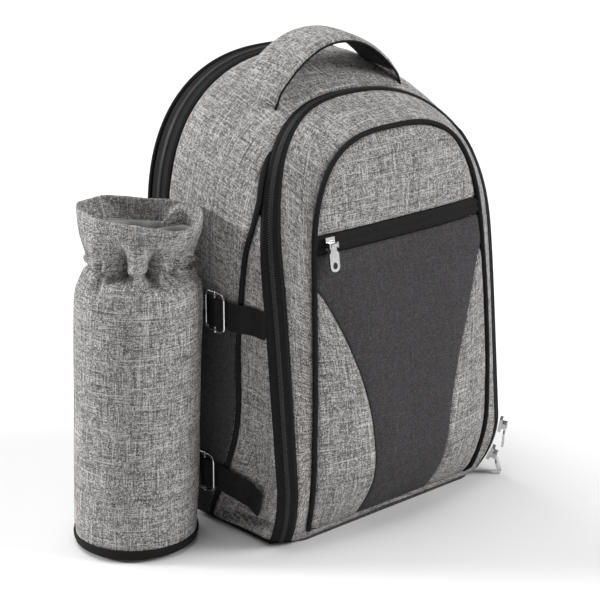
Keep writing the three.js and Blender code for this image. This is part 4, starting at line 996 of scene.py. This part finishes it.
class BACKPACK_OT_zips(bpy.types.Operator):
    """Sew the rear, front and pocket zips and their teeth"""

    bl_idname = "backpack.zips"
    bl_label = "Zips"

    def execute(self, context):
        sizes = context.scene.backpack
        bag = Bag(sizes)
        bands = [("rear_zip", "rear_edge", "rear_seam"), ("front_zip", "front_seam", "cover_seam")]
        for name, first, second in bands:
            def place(u, v, first=first, second=second):
                step = bag.arch_step("front_seam", u)
                return bag.arch(first, step).lerp(bag.arch(second, step), v)
            band = panel(f"{name}_band", (240, 20), place, bag.centre, seams=(0, 0, 1.2, 1.2),
                         ripple=0.15, pucker=0.1, wall=1.2, relief=zip_relief, fine=0,
                         weave="strip")
            dress(band, "zip_tape", [f"{name}_tape"])
            spots = [k / 500 for k in range(501)]
            teeth = row_of(f"{name}_teeth", [place(u, 0.5) for u in spots],
                           [outward_at(place, u, 0.5, bag.centre) for u in spots],
                           sizes.tooth_gap / MM, (1.0, 1.7, 1.0), "tooth", (-0.95, 0.95), lift=0.7)
            # The teeth take the lighter coil finish, a painted glint.
            dress(teeth, "zip_coil", [f"{name}_coil"])

        def pocket(u, v):
            z = POCKET_ZIP_HEIGHT + lerp(-0.5, 0.5, v) * POCKET_ZIP_WIDTH
            inside = bag.face_half_width(z) - CLEAR
            return bag.face(lerp(-inside, inside, u), z)
        band = panel("pocket_zip_band", (60, 16), pocket, bag.centre, seams=(0, 0, 0.9, 0.9),
                     ripple=0.25, pucker=0.1, wall=1.2, relief=pocket_zip_relief)
        dress(band, "zip_tape", ["pocket_zip_tape", "pocket_zip_coil"])
        return {"FINISHED"}


def outward_at(place, u, v, centre, step=0.002):
    """The outward direction of a surface at u, v."""
    along = place(min(u + step, 1), v) - place(max(u - step, 0), v)
    across = place(u, min(v + 0.05, 1)) - place(u, max(v - 0.05, 0))
    normal = along.cross(across).normalized()
    return -normal if normal.dot(place(u, v) - centre) < 0 else normal


class BACKPACK_OT_walls(bpy.types.Operator):
    """Sew the main gusset, the wedges at its sides and the front gusset"""

    bl_idname = "backpack.walls"
    bl_label = "Walls"

    def execute(self, context):
        bag = Bag(context.scene.backpack)

        def gusset(u, v):
            step = bag.arch_step("rear_seam", u)
            end = bag.piping_reach(step) + (bag.cord_sink(step) - CLEAR) / bag.body_length(step)
            return bag.body(step, lerp(0, end, v))
        cloth = panel("gusset_cloth", (200, 20), gusset, bag.centre, seams=(0, 0, 1.4, 2.2),
                      swell=1.0, ripple=0.9, pucker=0.5, seed=3, weave="strip", relief=rolled_rim)
        dress(cloth, "melange", ["main_gusset"])

        least = PIPING + 2 * SEAM_GAP + 2
        start = next(u for u in (0.4 * SIDE_SHARE + 0.002 * k for k in range(400))
                     if (1 - bag.piping_reach(u)) * bag.body_length(u) > least)
        for name, side in (("left", -1), ("right", 1)):
            def wedge(u, v, side=side):
                return bag.wedge(side, lerp(start, 1, u), v)
            cloth = panel(f"wedge_cloth_{name}", (150, 20), wedge, bag.centre, seams=(0, 0, 2, 1.5),
                          swell=0.5, ripple=0.8, pucker=0.5, seed=5 + side, relief=wedge_fold,
                          weave="strip")
            dress(cloth, "melange", [f"wedge_panel_{name}"])

        def cover(u, v):
            outer = bag.closed_outline("cover_seam", u, COVER_LOW, LOW - COVER_LOW)
            crown = clamp((outer.z / bag.height - COVER_CROWN_FROM) / 0.12)
            if crown > 0:
                behind = bag.arch("front_seam", bag.arch_step("cover_seam", u / ARCH_SHARE))
                outer = outer.lerp(behind + Vector((0, 0, COVER_CROWN_RISE)), COVER_CROWN * crown)
            inner = bag.closed_outline("face", u, FACE_BOTTOM, FACE_CORNER)
            return outer.lerp(inner, lerp(0, 1 - CLEAR / (inner - outer).length, v))
        cloth = panel("cover_cloth", (240, 12), cover, bag.centre, seams=(0, 0, 1.6, 2), swell=0.8,
                      ripple=0.0, pucker=0.4, closed=True, seed=9, weave="strip")
        dress(cloth, "melange", ["front_gusset"])
        return {"FINISHED"}


def rolled_rim(a, b, long, wide):
    """The gusset's front edge at the crown, which rolls over the piping."""
    crown = bell(a - 0.5 * long, 0.17 * long, 4)
    edge = wide - b
    return crown * (RIM_ROLL * bell(edge - 3, 2.4) - RIM_HOLLOW * bell(edge - 9, 2.5))


def wedge_fold(a, b, long, wide):
    """The crease and shading fold low on the wedge."""
    low = long - a
    across = math.sin(math.pi * clamp(b / max(wide, 1)))
    line = CREASE_HEIGHT + CREASE_SLOPE * b
    crease = CREASE_DEPTH * bell(low - line, CREASE_BREADTH) * (0.3 + 0.7 * across)
    belly = CREASE_DEPTH * bell(low - 0.4 * line, 0.5 * line) * math.sqrt(across)
    roll = WEDGE_ROLL * bell(low - line - 9, 6) * across
    hollow = WEDGE_HOLLOW * bell(low - WEDGE_HOLLOW_HEIGHT + 0.5 * b, 18) * across
    return belly - crease + roll - hollow


class BACKPACK_OT_face(bpy.types.Operator):
    """Sew the front face: the panel above the pocket zip, the dark panel and the side panels"""

    bl_idname = "backpack.face"
    bl_label = "Front face"

    def execute(self, context):
        bag = Bag(context.scene.backpack)
        zip_low = POCKET_ZIP_HEIGHT - 0.5 * POCKET_ZIP_WIDTH
        zip_high = POCKET_ZIP_HEIGHT + 0.5 * POCKET_ZIP_WIDTH
        cloth = panel("upper_face_cloth", (60, 40), lambda u, v: upper_face(bag, u, v, zip_high),
                      bag.centre, seams=(2.0, 2.0, 1.2, 2.0), swell=0.8, ripple=0.7, pucker=0.4,
                      seed=12)
        dress(cloth, "melange", ["pocket_upper_panel"])

        low = FACE_BOTTOM + CLEAR
        meets = low
        while (bag.face_half_width(meets) - CLEAR - bag.dark_half_width(meets) > 2
               and meets < zip_low):
            meets += 0.5

        def dark(u, v):
            z = lerp(low, zip_low, v)
            half = min(bag.face_half_width(z) - CLEAR, bag.dark_half_width(z))
            return bag.face(lerp(-half, half, u), z)
        cloth = panel("dark_face_cloth", (60, 80), dark, bag.centre, seams=(0.8, 0.8, 2.0, 1.2),
                      swell=1.0, ripple=0.8, pucker=0.3, seed=15)
        dress(cloth, "charcoal", ["pocket_dark_panel"])

        for name, side in (("left", -1), ("right", 1)):
            def beside(u, v, side=side):
                z = lerp(low, meets, v)
                inner = bag.dark_half_width(z) - SIDE_FACE_OVERLAP
                outer = max(bag.face_half_width(z) - CLEAR, inner + SIDE_FACE_LEAST)
                return bag.face(side * lerp(inner, outer, u), z)
            cloth = panel(f"side_face_cloth_{name}", (20, 70), beside, bag.centre,
                          seams=(2.8, 2.0, 2.0, 0.4), swell=0.8, ripple=0.7, pucker=0.4,
                          seed=18 + side)
            dress(cloth, "melange", [f"pocket_side_panel_{name}"])
        return {"FINISHED"}


def upper_face(bag, u, v, zip_high):
    """Point of the panel above the pocket zip, whose top and sides follow the face's arch."""
    start = bag.step_at_height("face", zip_high)
    crest = RINGS["face"]["height"] * bag.height
    corner = bag.step_at_height("face", lerp(zip_high, crest, UPPER_FACE_CORNER))

    def inset(step):
        along = bag.arch("face", step + 0.004) - bag.arch("face", step - 0.004)
        along.y = 0
        along.normalize()
        return bag.arch("face", step) + Vector((along.z, 0, -along.x)) * CLEAR
    right, right_low, right_high = inset(lerp(start, corner, v)), inset(start), inset(corner)
    if v <= 0:
        right.z = zip_high
    if u <= 0:
        top = Vector((-right_high.x, 0, right_high.z))
    elif u >= 1:
        top = right_high
    else:
        top = inset(lerp(-corner, corner, u))
    base_x = lerp(-right_low.x, right_low.x, u)
    side_x = lerp(-right.x, right.x, u)
    x = side_x + lerp(base_x, top.x, v) - lerp(base_x, lerp(-right_high.x, right_high.x, u), v)
    z = right.z + lerp(zip_high, top.z, v) - lerp(zip_high, right_high.z, v)
    return bag.face(x, z)


class BACKPACK_OT_piping(bpy.types.Operator):
    """Lay the piping round the bag, and the base with its own"""

    bl_idname = "backpack.piping"
    bl_label = "Piping and base"

    def execute(self, context):
        bag = Bag(context.scene.backpack)
        shares = [k / 360 for k in range(361)]
        steps = [bag.arch_step("rear_seam", share) for share in shares]
        rear = [bag.arch("rear_piping", u) + Vector(REAR_CORD_SHIFT) for u in steps]
        dress(tube("rear_cord", rear, PIPING), "piping", ["rear_piping"])
        side = [bag.body(u, bag.piping_reach(u)) for u in steps]
        side = [point + (bag.centre - point).normalized() * bag.cord_sink(u)
                for point, u in zip(side, steps)]
        dress(tube("side_cord", side, PIPING), "piping", ["side_piping"])
        front = [bag.closed_outline("face", share, FACE_BOTTOM, FACE_CORNER) for share in shares]
        front = [point + Vector(FRONT_CORD_LOW_SHIFT) * clamp((FACE_BOTTOM + 4 - point.z) / 4)
                 for point in front]
        dress(tube("front_cord", front, PIPING, ring=True), "piping", ["front_piping"])

        corners = [("rear_piping", "rear_piping", 0.0), ("rear_seam", "rear_seam", 0.0),
                   ("rear_seam", "front_seam", 0.35), ("rear_seam", "front_seam", 0.7),
                   ("front_seam", "front_seam", 0.0), ("cover_seam", "cover_seam", 0.0)]
        half = [Vector((lerp(bag.half_width(a, 0), bag.half_width(b, 0), t),
                        lerp(bag.ring_depth(a, 0), bag.ring_depth(b, 0), t), 0))
                for a, b, t in corners]
        half[-1] += Vector(BASE_CORD_CORNER_SHIFT)
        height = PIPING + 0.5 * SEAM_GAP
        path = [Vector((PIPING - p.x, p.y, height)) for p in reversed(half)]
        path += [Vector((p.x - PIPING, p.y, height)) for p in half]
        cord = tube("base_cord", divided(path, lambda a, b: 12), PIPING)
        dress(cord, "piping", ["base_piping"])
        base = bpy.data.objects["base_panel"]
        soften_edges(base, 0.4)
        coat(base, "charcoal_plain")
        return {"FINISHED"}


def handle_frames(bag, steps):
    """Middle, side and face directions along the carry handle."""
    half = 0.5 * HANDLE_SPAN
    reach = 0.5
    for _ in range(12):
        u = bag.step_at_half_width(half, reach)
        reach += (bag.body(u, reach).y - HANDLE_Y) / bag.body_length(u)
    base = bag.body(bag.step_at_half_width(half, reach), reach)
    lift = 0.5 * HANDLE_THICKNESS + HANDLE_LIFT
    frames = []
    for i in range(steps + 1):
        s = lerp(-HANDLE_REACH, HANDLE_REACH, i / steps)
        out = min(abs(s), 1)
        tucked = max(0.0, abs(s) - 1) * half
        z = base.z + HANDLE_RISE * (1 - out**HANDLE_ARCH) - HANDLE_TUCK * tucked
        slope = math.copysign(HANDLE_RISE * HANDLE_ARCH * out ** (HANDLE_ARCH - 1) / half, -s)
        if tucked > 0:
            slope = math.copysign(HANDLE_TUCK, -s)
        along = Vector((1, 0, slope)).normalized()
        tilt = math.radians(HANDLE_TILT * (0.45 + 0.55 * s * s))
        across = Vector((0, math.cos(tilt), math.sin(tilt)))
        up = along.cross(across).normalized()
        frames.append((Vector((HANDLE_SHIFT + s * half, HANDLE_Y, z + lift)), across, up))
    return frames


class BACKPACK_OT_handle(bpy.types.Operator):
    """Make the padded carry handle with its webbing and bound edges"""

    bl_idname = "backpack.handle"
    bl_label = "Carry handle"

    def execute(self, context):
        bag = Bag(context.scene.backpack)
        steps, around = 60, 24
        frames = handle_frames(bag, steps)
        t = 0.5 * HANDLE_THICKNESS
        edge = 0.5 * HANDLE_WIDTH - HANDLE_EDGE

        def place(u, v):
            middle, across, up = frames[round(u * steps)]
            c, s = math.cos(2 * math.pi * v), math.sin(2 * math.pi * v)
            rise = t * (abs(s) ** 0.6 if s > 0 else -HANDLE_UNDERSIDE * abs(s) ** 0.4)
            sewn = 0.4 * bell(min(u, 1 - u) - 0.06, 0.022)
            return (middle + across * (edge * math.copysign(abs(c) ** 0.75, c))
                    + up * rise * (1 - sewn))
        lay = Lay((steps, around), place, lambda p: closest(frames, p))

        def shift(i, j):
            v = j % around / around
            fade = math.sin(math.pi * i / steps) ** 0.4
            top = max(0.0, math.sin(2 * math.pi * v))
            return fade * top * (1.0 + 0.5 * even((lay.along[0][i], 60 * v), 24, 31)) * 0.6
        piece = thicken(new_piece("handle_pad", lay.sew(shift, wrap_across=True, caps=True)), 0)
        dress(piece, "melange", ["handle_strap"])
        under = -HANDLE_UNDERSIDE * t - SEAM_GAP - 0.5 * HANDLE_WEBBING
        seen = frames[3:-3]
        strap = ribbon("handle_underside", [middle + up * under for middle, across, up in seen],
                       [-up for middle, across, up in seen], HANDLE_WEBBING_WIDTH, HANDLE_WEBBING)
        dress(strap, "webbing", ["handle_webbing"])
        for name, side, low in (("front", -1, 0.25), ("rear", 1, 0.5)):
            path = [middle + across * side * (edge - 0.2) - up * low * t
                    for middle, across, up in frames]
            cord = tube(f"handle_edge_{name}", path, HANDLE_EDGE, sides=10, flat=1.25)
            dress(cord, "binding", [f"handle_binding_{name}"])
        gap = context.scene.backpack.stitch_gap / MM
        for number, frame_number in enumerate((5, steps - 5)):
            middle, across, up = frames[frame_number]
            line = [middle + across * lerp(-0.9, 0.9, k / 20) * edge + up * (0.72 * t)
                    for k in range(21)]
            seam = row_of(f"handle_seam_{number}", line, [up] * 21, gap, (2.4, 0.7, 0.6), lift=0.3)
            dress(seam, "thread", slot="piping")
        return {"FINISHED"}


def closest(frames, point):
    """The middle of the frame that is nearest to a point."""
    return min((frame[0] for frame in frames), key=lambda middle: (middle - point).length)


class BACKPACK_OT_holder(bpy.types.Operator):
    """Gather the bottle holder, with its collar, lining and bottom binding"""

    bl_idname = "backpack.holder"
    bl_label = "Bottle holder"

    def execute(self, context):
        bag = Bag(context.scene.backpack)
        axis = bag.holder_axis

        def cloth(u, v):
            """The cloth's height and depth: it runs up to the rim and folds into the mouth."""
            stops = [(0.0, 0.0), (0.28, 0.75), (0.8, 0.93), (0.86, 1.0)]
            share = 1.0
            for (a, low), (b, high) in zip(stops, stops[1:]):
                if a <= v <= b:
                    share = lerp(low, high, (v - a) / (b - a))
            share -= 0.08 * clamp((v - 0.87) / 0.13)
            inset = 1.5 * clamp((v - 0.86) / 0.01) + 1.2 * clamp((v - 0.88) / 0.12)
            return bag.holder(share, 2 * math.pi * u, inset)
        piece = self.shell("holder_cloth", (290, 150), cloth, axis, 0.7)
        dress(piece, "melange", ["holder_body", "holder_collar"])

        for number, turn in enumerate((-88, -84.5)):
            angle = math.radians(turn - HOLDER_TURN)
            line = [bag.holder(lerp(0.03, 0.985, k / 200), angle, -0.4) for k in range(201)]
            outs = [(point - axis(point.z)).normalized() for point in line]
            seam = row_of(f"holder_seam_{number}", line, outs,
                          context.scene.backpack.stitch_gap / MM, (2.6, 0.6, 0.4))
            dress(seam, "thread", slot="piping")

        def lining(u, v):
            return bag.holder(lerp(0.02, 0.94, v), 2 * math.pi * u, HOLDER_LINING_INSET)
        piece = self.shell("holder_inner", (120, 60), lining, axis, 0.5)
        dress(piece, "lining", ["holder_lining"])

        def band(u, v):
            angle = 2 * math.pi * v
            share = (HOLDER_BINDING / HOLDER_HEIGHT) * (0.5 + 0.5 * math.sin(angle))
            return bag.holder(share, 2 * math.pi * u, -0.5 - 1.6 * max(0.0, math.cos(angle)))
        lay = Lay((160, 12), band, lambda p: axis(p.z), closed=True)
        mesh = lay.sew(wrap_across=True)
        bmesh.ops.recalc_face_normals(mesh, faces=mesh.faces[:])
        dress(new_piece("holder_hem", mesh), "binding", ["holder_binding"])
        return {"FINISHED"}

    def shell(self, name, cells, place, axis, wall):
        """Cloth that goes round the holder's axis and billows a little."""
        lay = Lay(cells, place, lambda p: axis(p.z), closed=True)

        def shift(i, j):
            angle = 2 * math.pi * i / lay.n
            run = min(lay.across[0][j], 300)
            at = Vector((3 * math.cos(angle), 3 * math.sin(angle), run / 40))
            return 1.1 * noise.noise(at) + 0.35 * noise.noise(at * 3.1)
        return thicken(new_piece(name, lay.sew(shift, weave="tube")), wall, 0)


class BACKPACK_OT_side(bpy.types.Operator):
    """Sew the dark side patch, a charcoal sheet laid as painted shade where the holder's shadow
    falls, and the straps and buckles that hold the bottle holder
    """

    bl_idname = "backpack.side"
    bl_label = "Side straps"

    def execute(self, context):
        bag = Bag(context.scene.backpack)
        bound = SIDE_PATCH_HEIGHT - SIDE_PATCH_BINDING
        # The side patch's charcoal cloth is painted shade: a dark sheet laid where the bottle
        # holder's shadow falls on the side.
        rows = [("shade_patch_cloth", LOW, bound - SEAM_GAP, 50, "charcoal", "side_patch"),
                ("side_patch_edge", bound, SIDE_PATCH_HEIGHT, 4, "binding", "side_patch_binding")]
        for name, low, high, cells, finish, node in rows:
            def place(u, v, low=low, high=high):
                z = lerp(low, high, v)
                step = bag.step_at_height("rear_seam", z) if z > LOW else 1
                end = bag.piping_reach(step) - (PIPING + 2 * SEAM_GAP) / bag.body_length(step)
                return bag.body(-step, lerp(0.05, end, u))
            patch = panel(name, (24, cells), place, bag.centre, ripple=0.0, wall=SIDE_PATCH,
                          seed=25, relief=lambda a, b, long, wide: SIDE_PATCH_LIFT)
            dress(patch, finish, [node])

        # Where each strap starts on the wedge, and how far it stands in or out there
        starts = {"upper": [(0.99, 5.0), (0.93, 1.2), (0.84, 0), (0.42, 0)],
                  "lower": [(0.66, -1.0), (0.64, -2.4), (0.6, -2.2), (0.42, -0.5)]}
        straps = [("upper", UPPER_STRAP_HEIGHT, UPPER_BUCKLE_Y),
                  ("lower", LOWER_STRAP_HEIGHT, LOWER_BUCKLE_Y)]
        for name, height, buckle_y in straps:
            axis = bag.holder_axis(height)
            swing = BUCKLE_WIRE + SEAM_GAP + 0.5 * WEBBING
            frame_x = -(bag.patch_face + SEAM_GAP + 0.5 * WEBBING) - swing
            end_x = axis.x + HOLDER_RADIUS + CLEAR + 0.5 * WEBBING
            path = []
            for share, inward in starts[name]:
                spots = [bag.wedge(-1, bag.step_at_height("front_seam", height + s), share)
                         for s in (-13, 0, 13)]
                x = min(p.x for p in spots) - 2 * SEAM_GAP - 0.5 * WEBBING + inward
                path.append(Vector((x, spots[1].y, height)))
            step = bag.step_at_height("front_seam", height)
            crest = bag.body(-step, bag.piping_reach(step))
            crest_x = -(bag.side_face + PIPING + 2 * SEAM_GAP + 0.5 * WEBBING)
            path.append(Vector((crest_x, crest.y, height)))
            half = 0.5 * BUCKLE_LENGTH - BUCKLE_WIRE
            for k in range(25):
                share = -1.5 + 3 * k / 24
                push = swing * clamp(1.3 * math.cos(math.pi * share), -1, 1)
                path.append(Vector((frame_x - push, buckle_y + share * half, height)))
            path += [Vector((end_x, y, height)) for y in
                     (max(axis.y, buckle_y + BUCKLE_LENGTH), axis.y + 0.5 * WEBBING_WIDTH)]
            path = divided(path, lambda a, b: max(1, round((b - a).length / 2.5)))
            if name == "lower":
                front = path[0].y
                drop = Vector((0, 0, STRAP_DROP))
                path = [p - drop * clamp(1 - (p.y - front) / STRAP_DROP_LENGTH) for p in path]
            outs = [Vector((-1, 0, 0))] * len(path)
            strap = ribbon(f"{name}_webbing", path, outs, WEBBING_WIDTH, WEBBING)
            dress(strap, "webbing", [f"{name}_strap"])
            wire_buckle(f"{name}_wire", Vector((frame_x, buckle_y, height)), f"{name}_buckle")
        return {"FINISHED"}


def wire_buckle(name, middle, node):
    """A bent wire frame that stands upright, with a bar down its middle and a nib at each end."""
    along, across, wire = Vector((0, 1, 0)), Vector((0, 0, 1)), BUCKLE_WIRE
    half_length, half_height = 0.5 * BUCKLE_LENGTH - wire, 0.5 * BUCKLE_HEIGHT - wire
    ring = []
    for quarter, (sa, sc) in enumerate([(1, 1), (-1, 1), (-1, -1), (1, -1)]):
        for i in range(7):
            angle = math.pi / 2 * (quarter + i / 6)
            a = sa * (half_length - BUCKLE_CORNER) + BUCKLE_CORNER * math.cos(angle)
            c = sc * (half_height - BUCKLE_CORNER) + BUCKLE_CORNER * math.sin(angle)
            ring.append(middle + along * a + across * c)
    ring.append(ring[0])
    dress(tube(name, ring, wire, sides=14, ring=True), "metal", [node])
    for number, side in enumerate((-1, 1)):
        nib = [middle + across * side * (0.5 * BUCKLE_HEIGHT + lerp(-2.6, 0.7, k / 4))
               for k in range(5)]
        dress(tube(f"{name}_nib_{number}", nib, 1.6), "metal")
    bar = [middle + across * lerp(-half_height, half_height, k / 8) for k in range(9)]
    dress(tube(f"{name}_bar", bar, wire, sides=14), "metal")


class BACKPACK_OT_hardware(bpy.types.Operator):
    """Polish the zip sliders and their pulls"""

    bl_idname = "backpack.hardware"
    bl_label = "Sliders and pulls"

    def execute(self, context):
        for place in ("pocket", "front_upper", "front_lower", "rear"):
            for part in ("slider", "pull"):
                thing = bpy.data.objects[f"{place}_{part}"]
                soften_edges(thing, 0.35, only_sharp=True)
                coat(thing, "metal")
        return {"FINISHED"}


def shoulder_place(bag, side, t):
    """Middle of a shoulder strap at the share t of its length from the top."""
    bow = math.sin(math.pi * min(1.0, t * 1.02)) ** 0.8
    x = side * lerp(SHOULDER_TOP_X, SHOULDER_END_X, t * t)
    y = REAR_EDGE_Y + BACK_PAD + SEAM_GAP + 0.5 * SHOULDER_PAD + SHOULDER_BOW * bow
    return Vector((x, y, lerp(SHOULDER_TOP, SHOULDER_END, t)))


class BACKPACK_OT_back(bpy.types.Operator):
    """Pad the back panel and the shoulder straps"""

    bl_idname = "backpack.back"
    bl_label = "Back and shoulder straps"

    def execute(self, context):
        bag = Bag(context.scene.backpack)
        clear = PIPING + SEAM_GAP

        def back(u, v):
            edge = bag.closed_outline("rear_piping", u, LOW, 5)
            inner = Vector((0, 0, 0.45 * bag.height))
            edge.y = 0
            size = (edge - inner).length
            point = edge.lerp(inner, lerp(clear / size, 1.0, v))
            depth = BACK_PAD * (1 - math.exp(-((v * size) / 9)))
            channel = bell(abs(point.x) - BACK_CHANNEL_X, 3.5) * clamp(v * size / 20)
            return Vector((point.x, REAR_EDGE_Y + depth - BACK_CHANNEL * channel, point.z))
        mesh = Lay((200, 60), back, bag.centre, closed=True).sew()
        bmesh.ops.remove_doubles(mesh, verts=mesh.verts[:], dist=1e-5)
        piece = thicken(new_piece("back_pad", mesh), 2.0, 0)
        dress(piece, "black_cloth", ["back_panel"])

        for name, side in (("left", -1), ("right", 1)):
            def place(u, v, side=side):
                along = (shoulder_place(bag, side, min(1, u + 0.01))
                         - shoulder_place(bag, side, max(0, u - 0.01))).normalized()
                across = (Vector((1, 0, 0)) - along * along.x).normalized()
                out = along.cross(across).normalized()
                if out.y < 0:
                    out = -out
                c, s = math.cos(2 * math.pi * v), math.sin(2 * math.pi * v)
                w = 0.5 * SHOULDER_WIDTH * lerp(1, SHOULDER_TAPER, u)
                h = 0.5 * SHOULDER_PAD * (1 - 0.35 * clamp(1 - min(u, 1 - u) / 0.04))
                return (shoulder_place(bag, side, u) + across * w * math.copysign(abs(c) ** 0.6, c)
                        + out * h * math.copysign(abs(s) ** 0.5, s))
            centres = [(shoulder_place(bag, side, k / 24),) for k in range(25)]
            lay = Lay((48, 24), place, lambda p, centres=centres: closest(centres, p))
            mesh = lay.sew(wrap_across=True, caps=True)
            piece = thicken(new_piece(f"shoulder_pad_{name}", mesh), 0)
            dress(piece, "melange", [f"shoulder_strap_{name}"])
            coat(bpy.data.objects[f"strap_webbing_{name}"], "webbing_plain")
            coat(bpy.data.objects[f"strap_adjuster_{name}"], "plastic")
        return {"FINISHED"}


class BACKPACK_OT_stage(bpy.types.Operator):
    """Set the pale floor, the studio light and the camera"""

    bl_idname = "backpack.stage"
    bl_label = "Stage"

    def execute(self, context):
        scene = context.scene
        mesh = bmesh.new()
        bmesh.ops.create_grid(mesh, x_segments=1, y_segments=1, size=6)
        floor = bpy.data.meshes.new("floor")
        mesh.to_mesh(floor)
        mesh.free()
        floor = bpy.data.objects.new("floor", floor)
        scene.collection.objects.link(floor)
        pale = Finish("pale_floor", roughness=0.9, specular=0.1)
        x, y, z = pale.object_place()
        pale.set(Base_Color=pale.mix((0.8, 0.8, 0.8), (0.81, 0.81, 0.81),
                                     pale.noise(x * 3, y * 3, detail=1.0)))
        floor.data.materials.append(pale.material)

        world = bpy.data.worlds.new("studio")
        scene.world = world
        world.use_nodes = True
        sky = world.node_tree.nodes["Background"].inputs
        sky["Color"].default_value = (1, 1, 1, 1)
        sky["Strength"].default_value = 0.25
        scene.view_settings.view_transform = "Standard"

        # Where each sun stands, how wide it is in degrees, and its strength
        lights = [
            ("key", (1.0, -1.0, 0.8), 25, 2.4),
            ("top", (-0.1, 0.1, 1.0), 40, 1.4),
            ("left", (-0.8, 0.85, 0.4), 12, 2.9),
            ("back", (-0.1, 1.0, 0.9), 40, 1.0),
        ]
        for name, place, spread, strength in lights:
            light = bpy.data.lights.new(name, "SUN")
            light.angle = math.radians(spread)
            light.energy = strength
            lamp = bpy.data.objects.new(name, light)
            lamp.location = place
            lamp.rotation_euler = (-Vector(place)).to_track_quat("-Z", "Y").to_euler()
            scene.collection.objects.link(lamp)

        azimuth, elevation = math.radians(CAMERA_AZIMUTH), math.radians(CAMERA_ELEVATION)
        back = Vector((math.sin(azimuth) * math.cos(elevation),
                       -math.cos(azimuth) * math.cos(elevation), math.sin(elevation)))
        data = bpy.data.cameras.new("camera")
        data.sensor_width = CAMERA_SENSOR
        data.lens = CAMERA_LENS
        camera = bpy.data.objects.new("camera", data)
        camera.location = Vector(CAMERA_TARGET) + back * CAMERA_DISTANCE
        camera.rotation_euler = (-back).to_track_quat("-Z", "Y").to_euler()
        scene.collection.objects.link(camera)
        scene.camera = camera
        return {"FINISHED"}


STEPS = (
    BACKPACK_OT_finishes,
    BACKPACK_OT_walls,
    BACKPACK_OT_face,
    BACKPACK_OT_piping,
    BACKPACK_OT_zips,
    BACKPACK_OT_handle,
    BACKPACK_OT_holder,
    BACKPACK_OT_side,
    BACKPACK_OT_hardware,
    BACKPACK_OT_back,
    BACKPACK_OT_stage,
)


class BACKPACK_PT_sidebar(bpy.types.Panel):
    """Sizes, colours and steps of the backpack"""

    bl_label = "Backpack"
    bl_space_type = "VIEW_3D"
    bl_region_type = "UI"
    bl_category = "Backpack"

    def draw(self, context):
        sizes = context.scene.backpack
        for name in sizes.bl_rna.properties.keys():
            if name not in ("rna_type", "name"):
                self.layout.prop(sizes, name)
        for step in STEPS:
            self.layout.operator(step.bl_idname)


def register():
    for made in (BackpackSizes, *STEPS, BACKPACK_PT_sidebar):
        bpy.utils.register_class(made)
    bpy.types.Scene.backpack = bpy.props.PointerProperty(type=BackpackSizes)


def unregister():
    del bpy.types.Scene.backpack
    for made in reversed((BackpackSizes, *STEPS, BACKPACK_PT_sidebar)):
        bpy.utils.unregister_class(made)


def main():
    register()
    for step in STEPS:
        group, name = step.bl_idname.split(".")
        getattr(getattr(bpy.ops, group), name)()


if __name__ == "__main__":
    main()
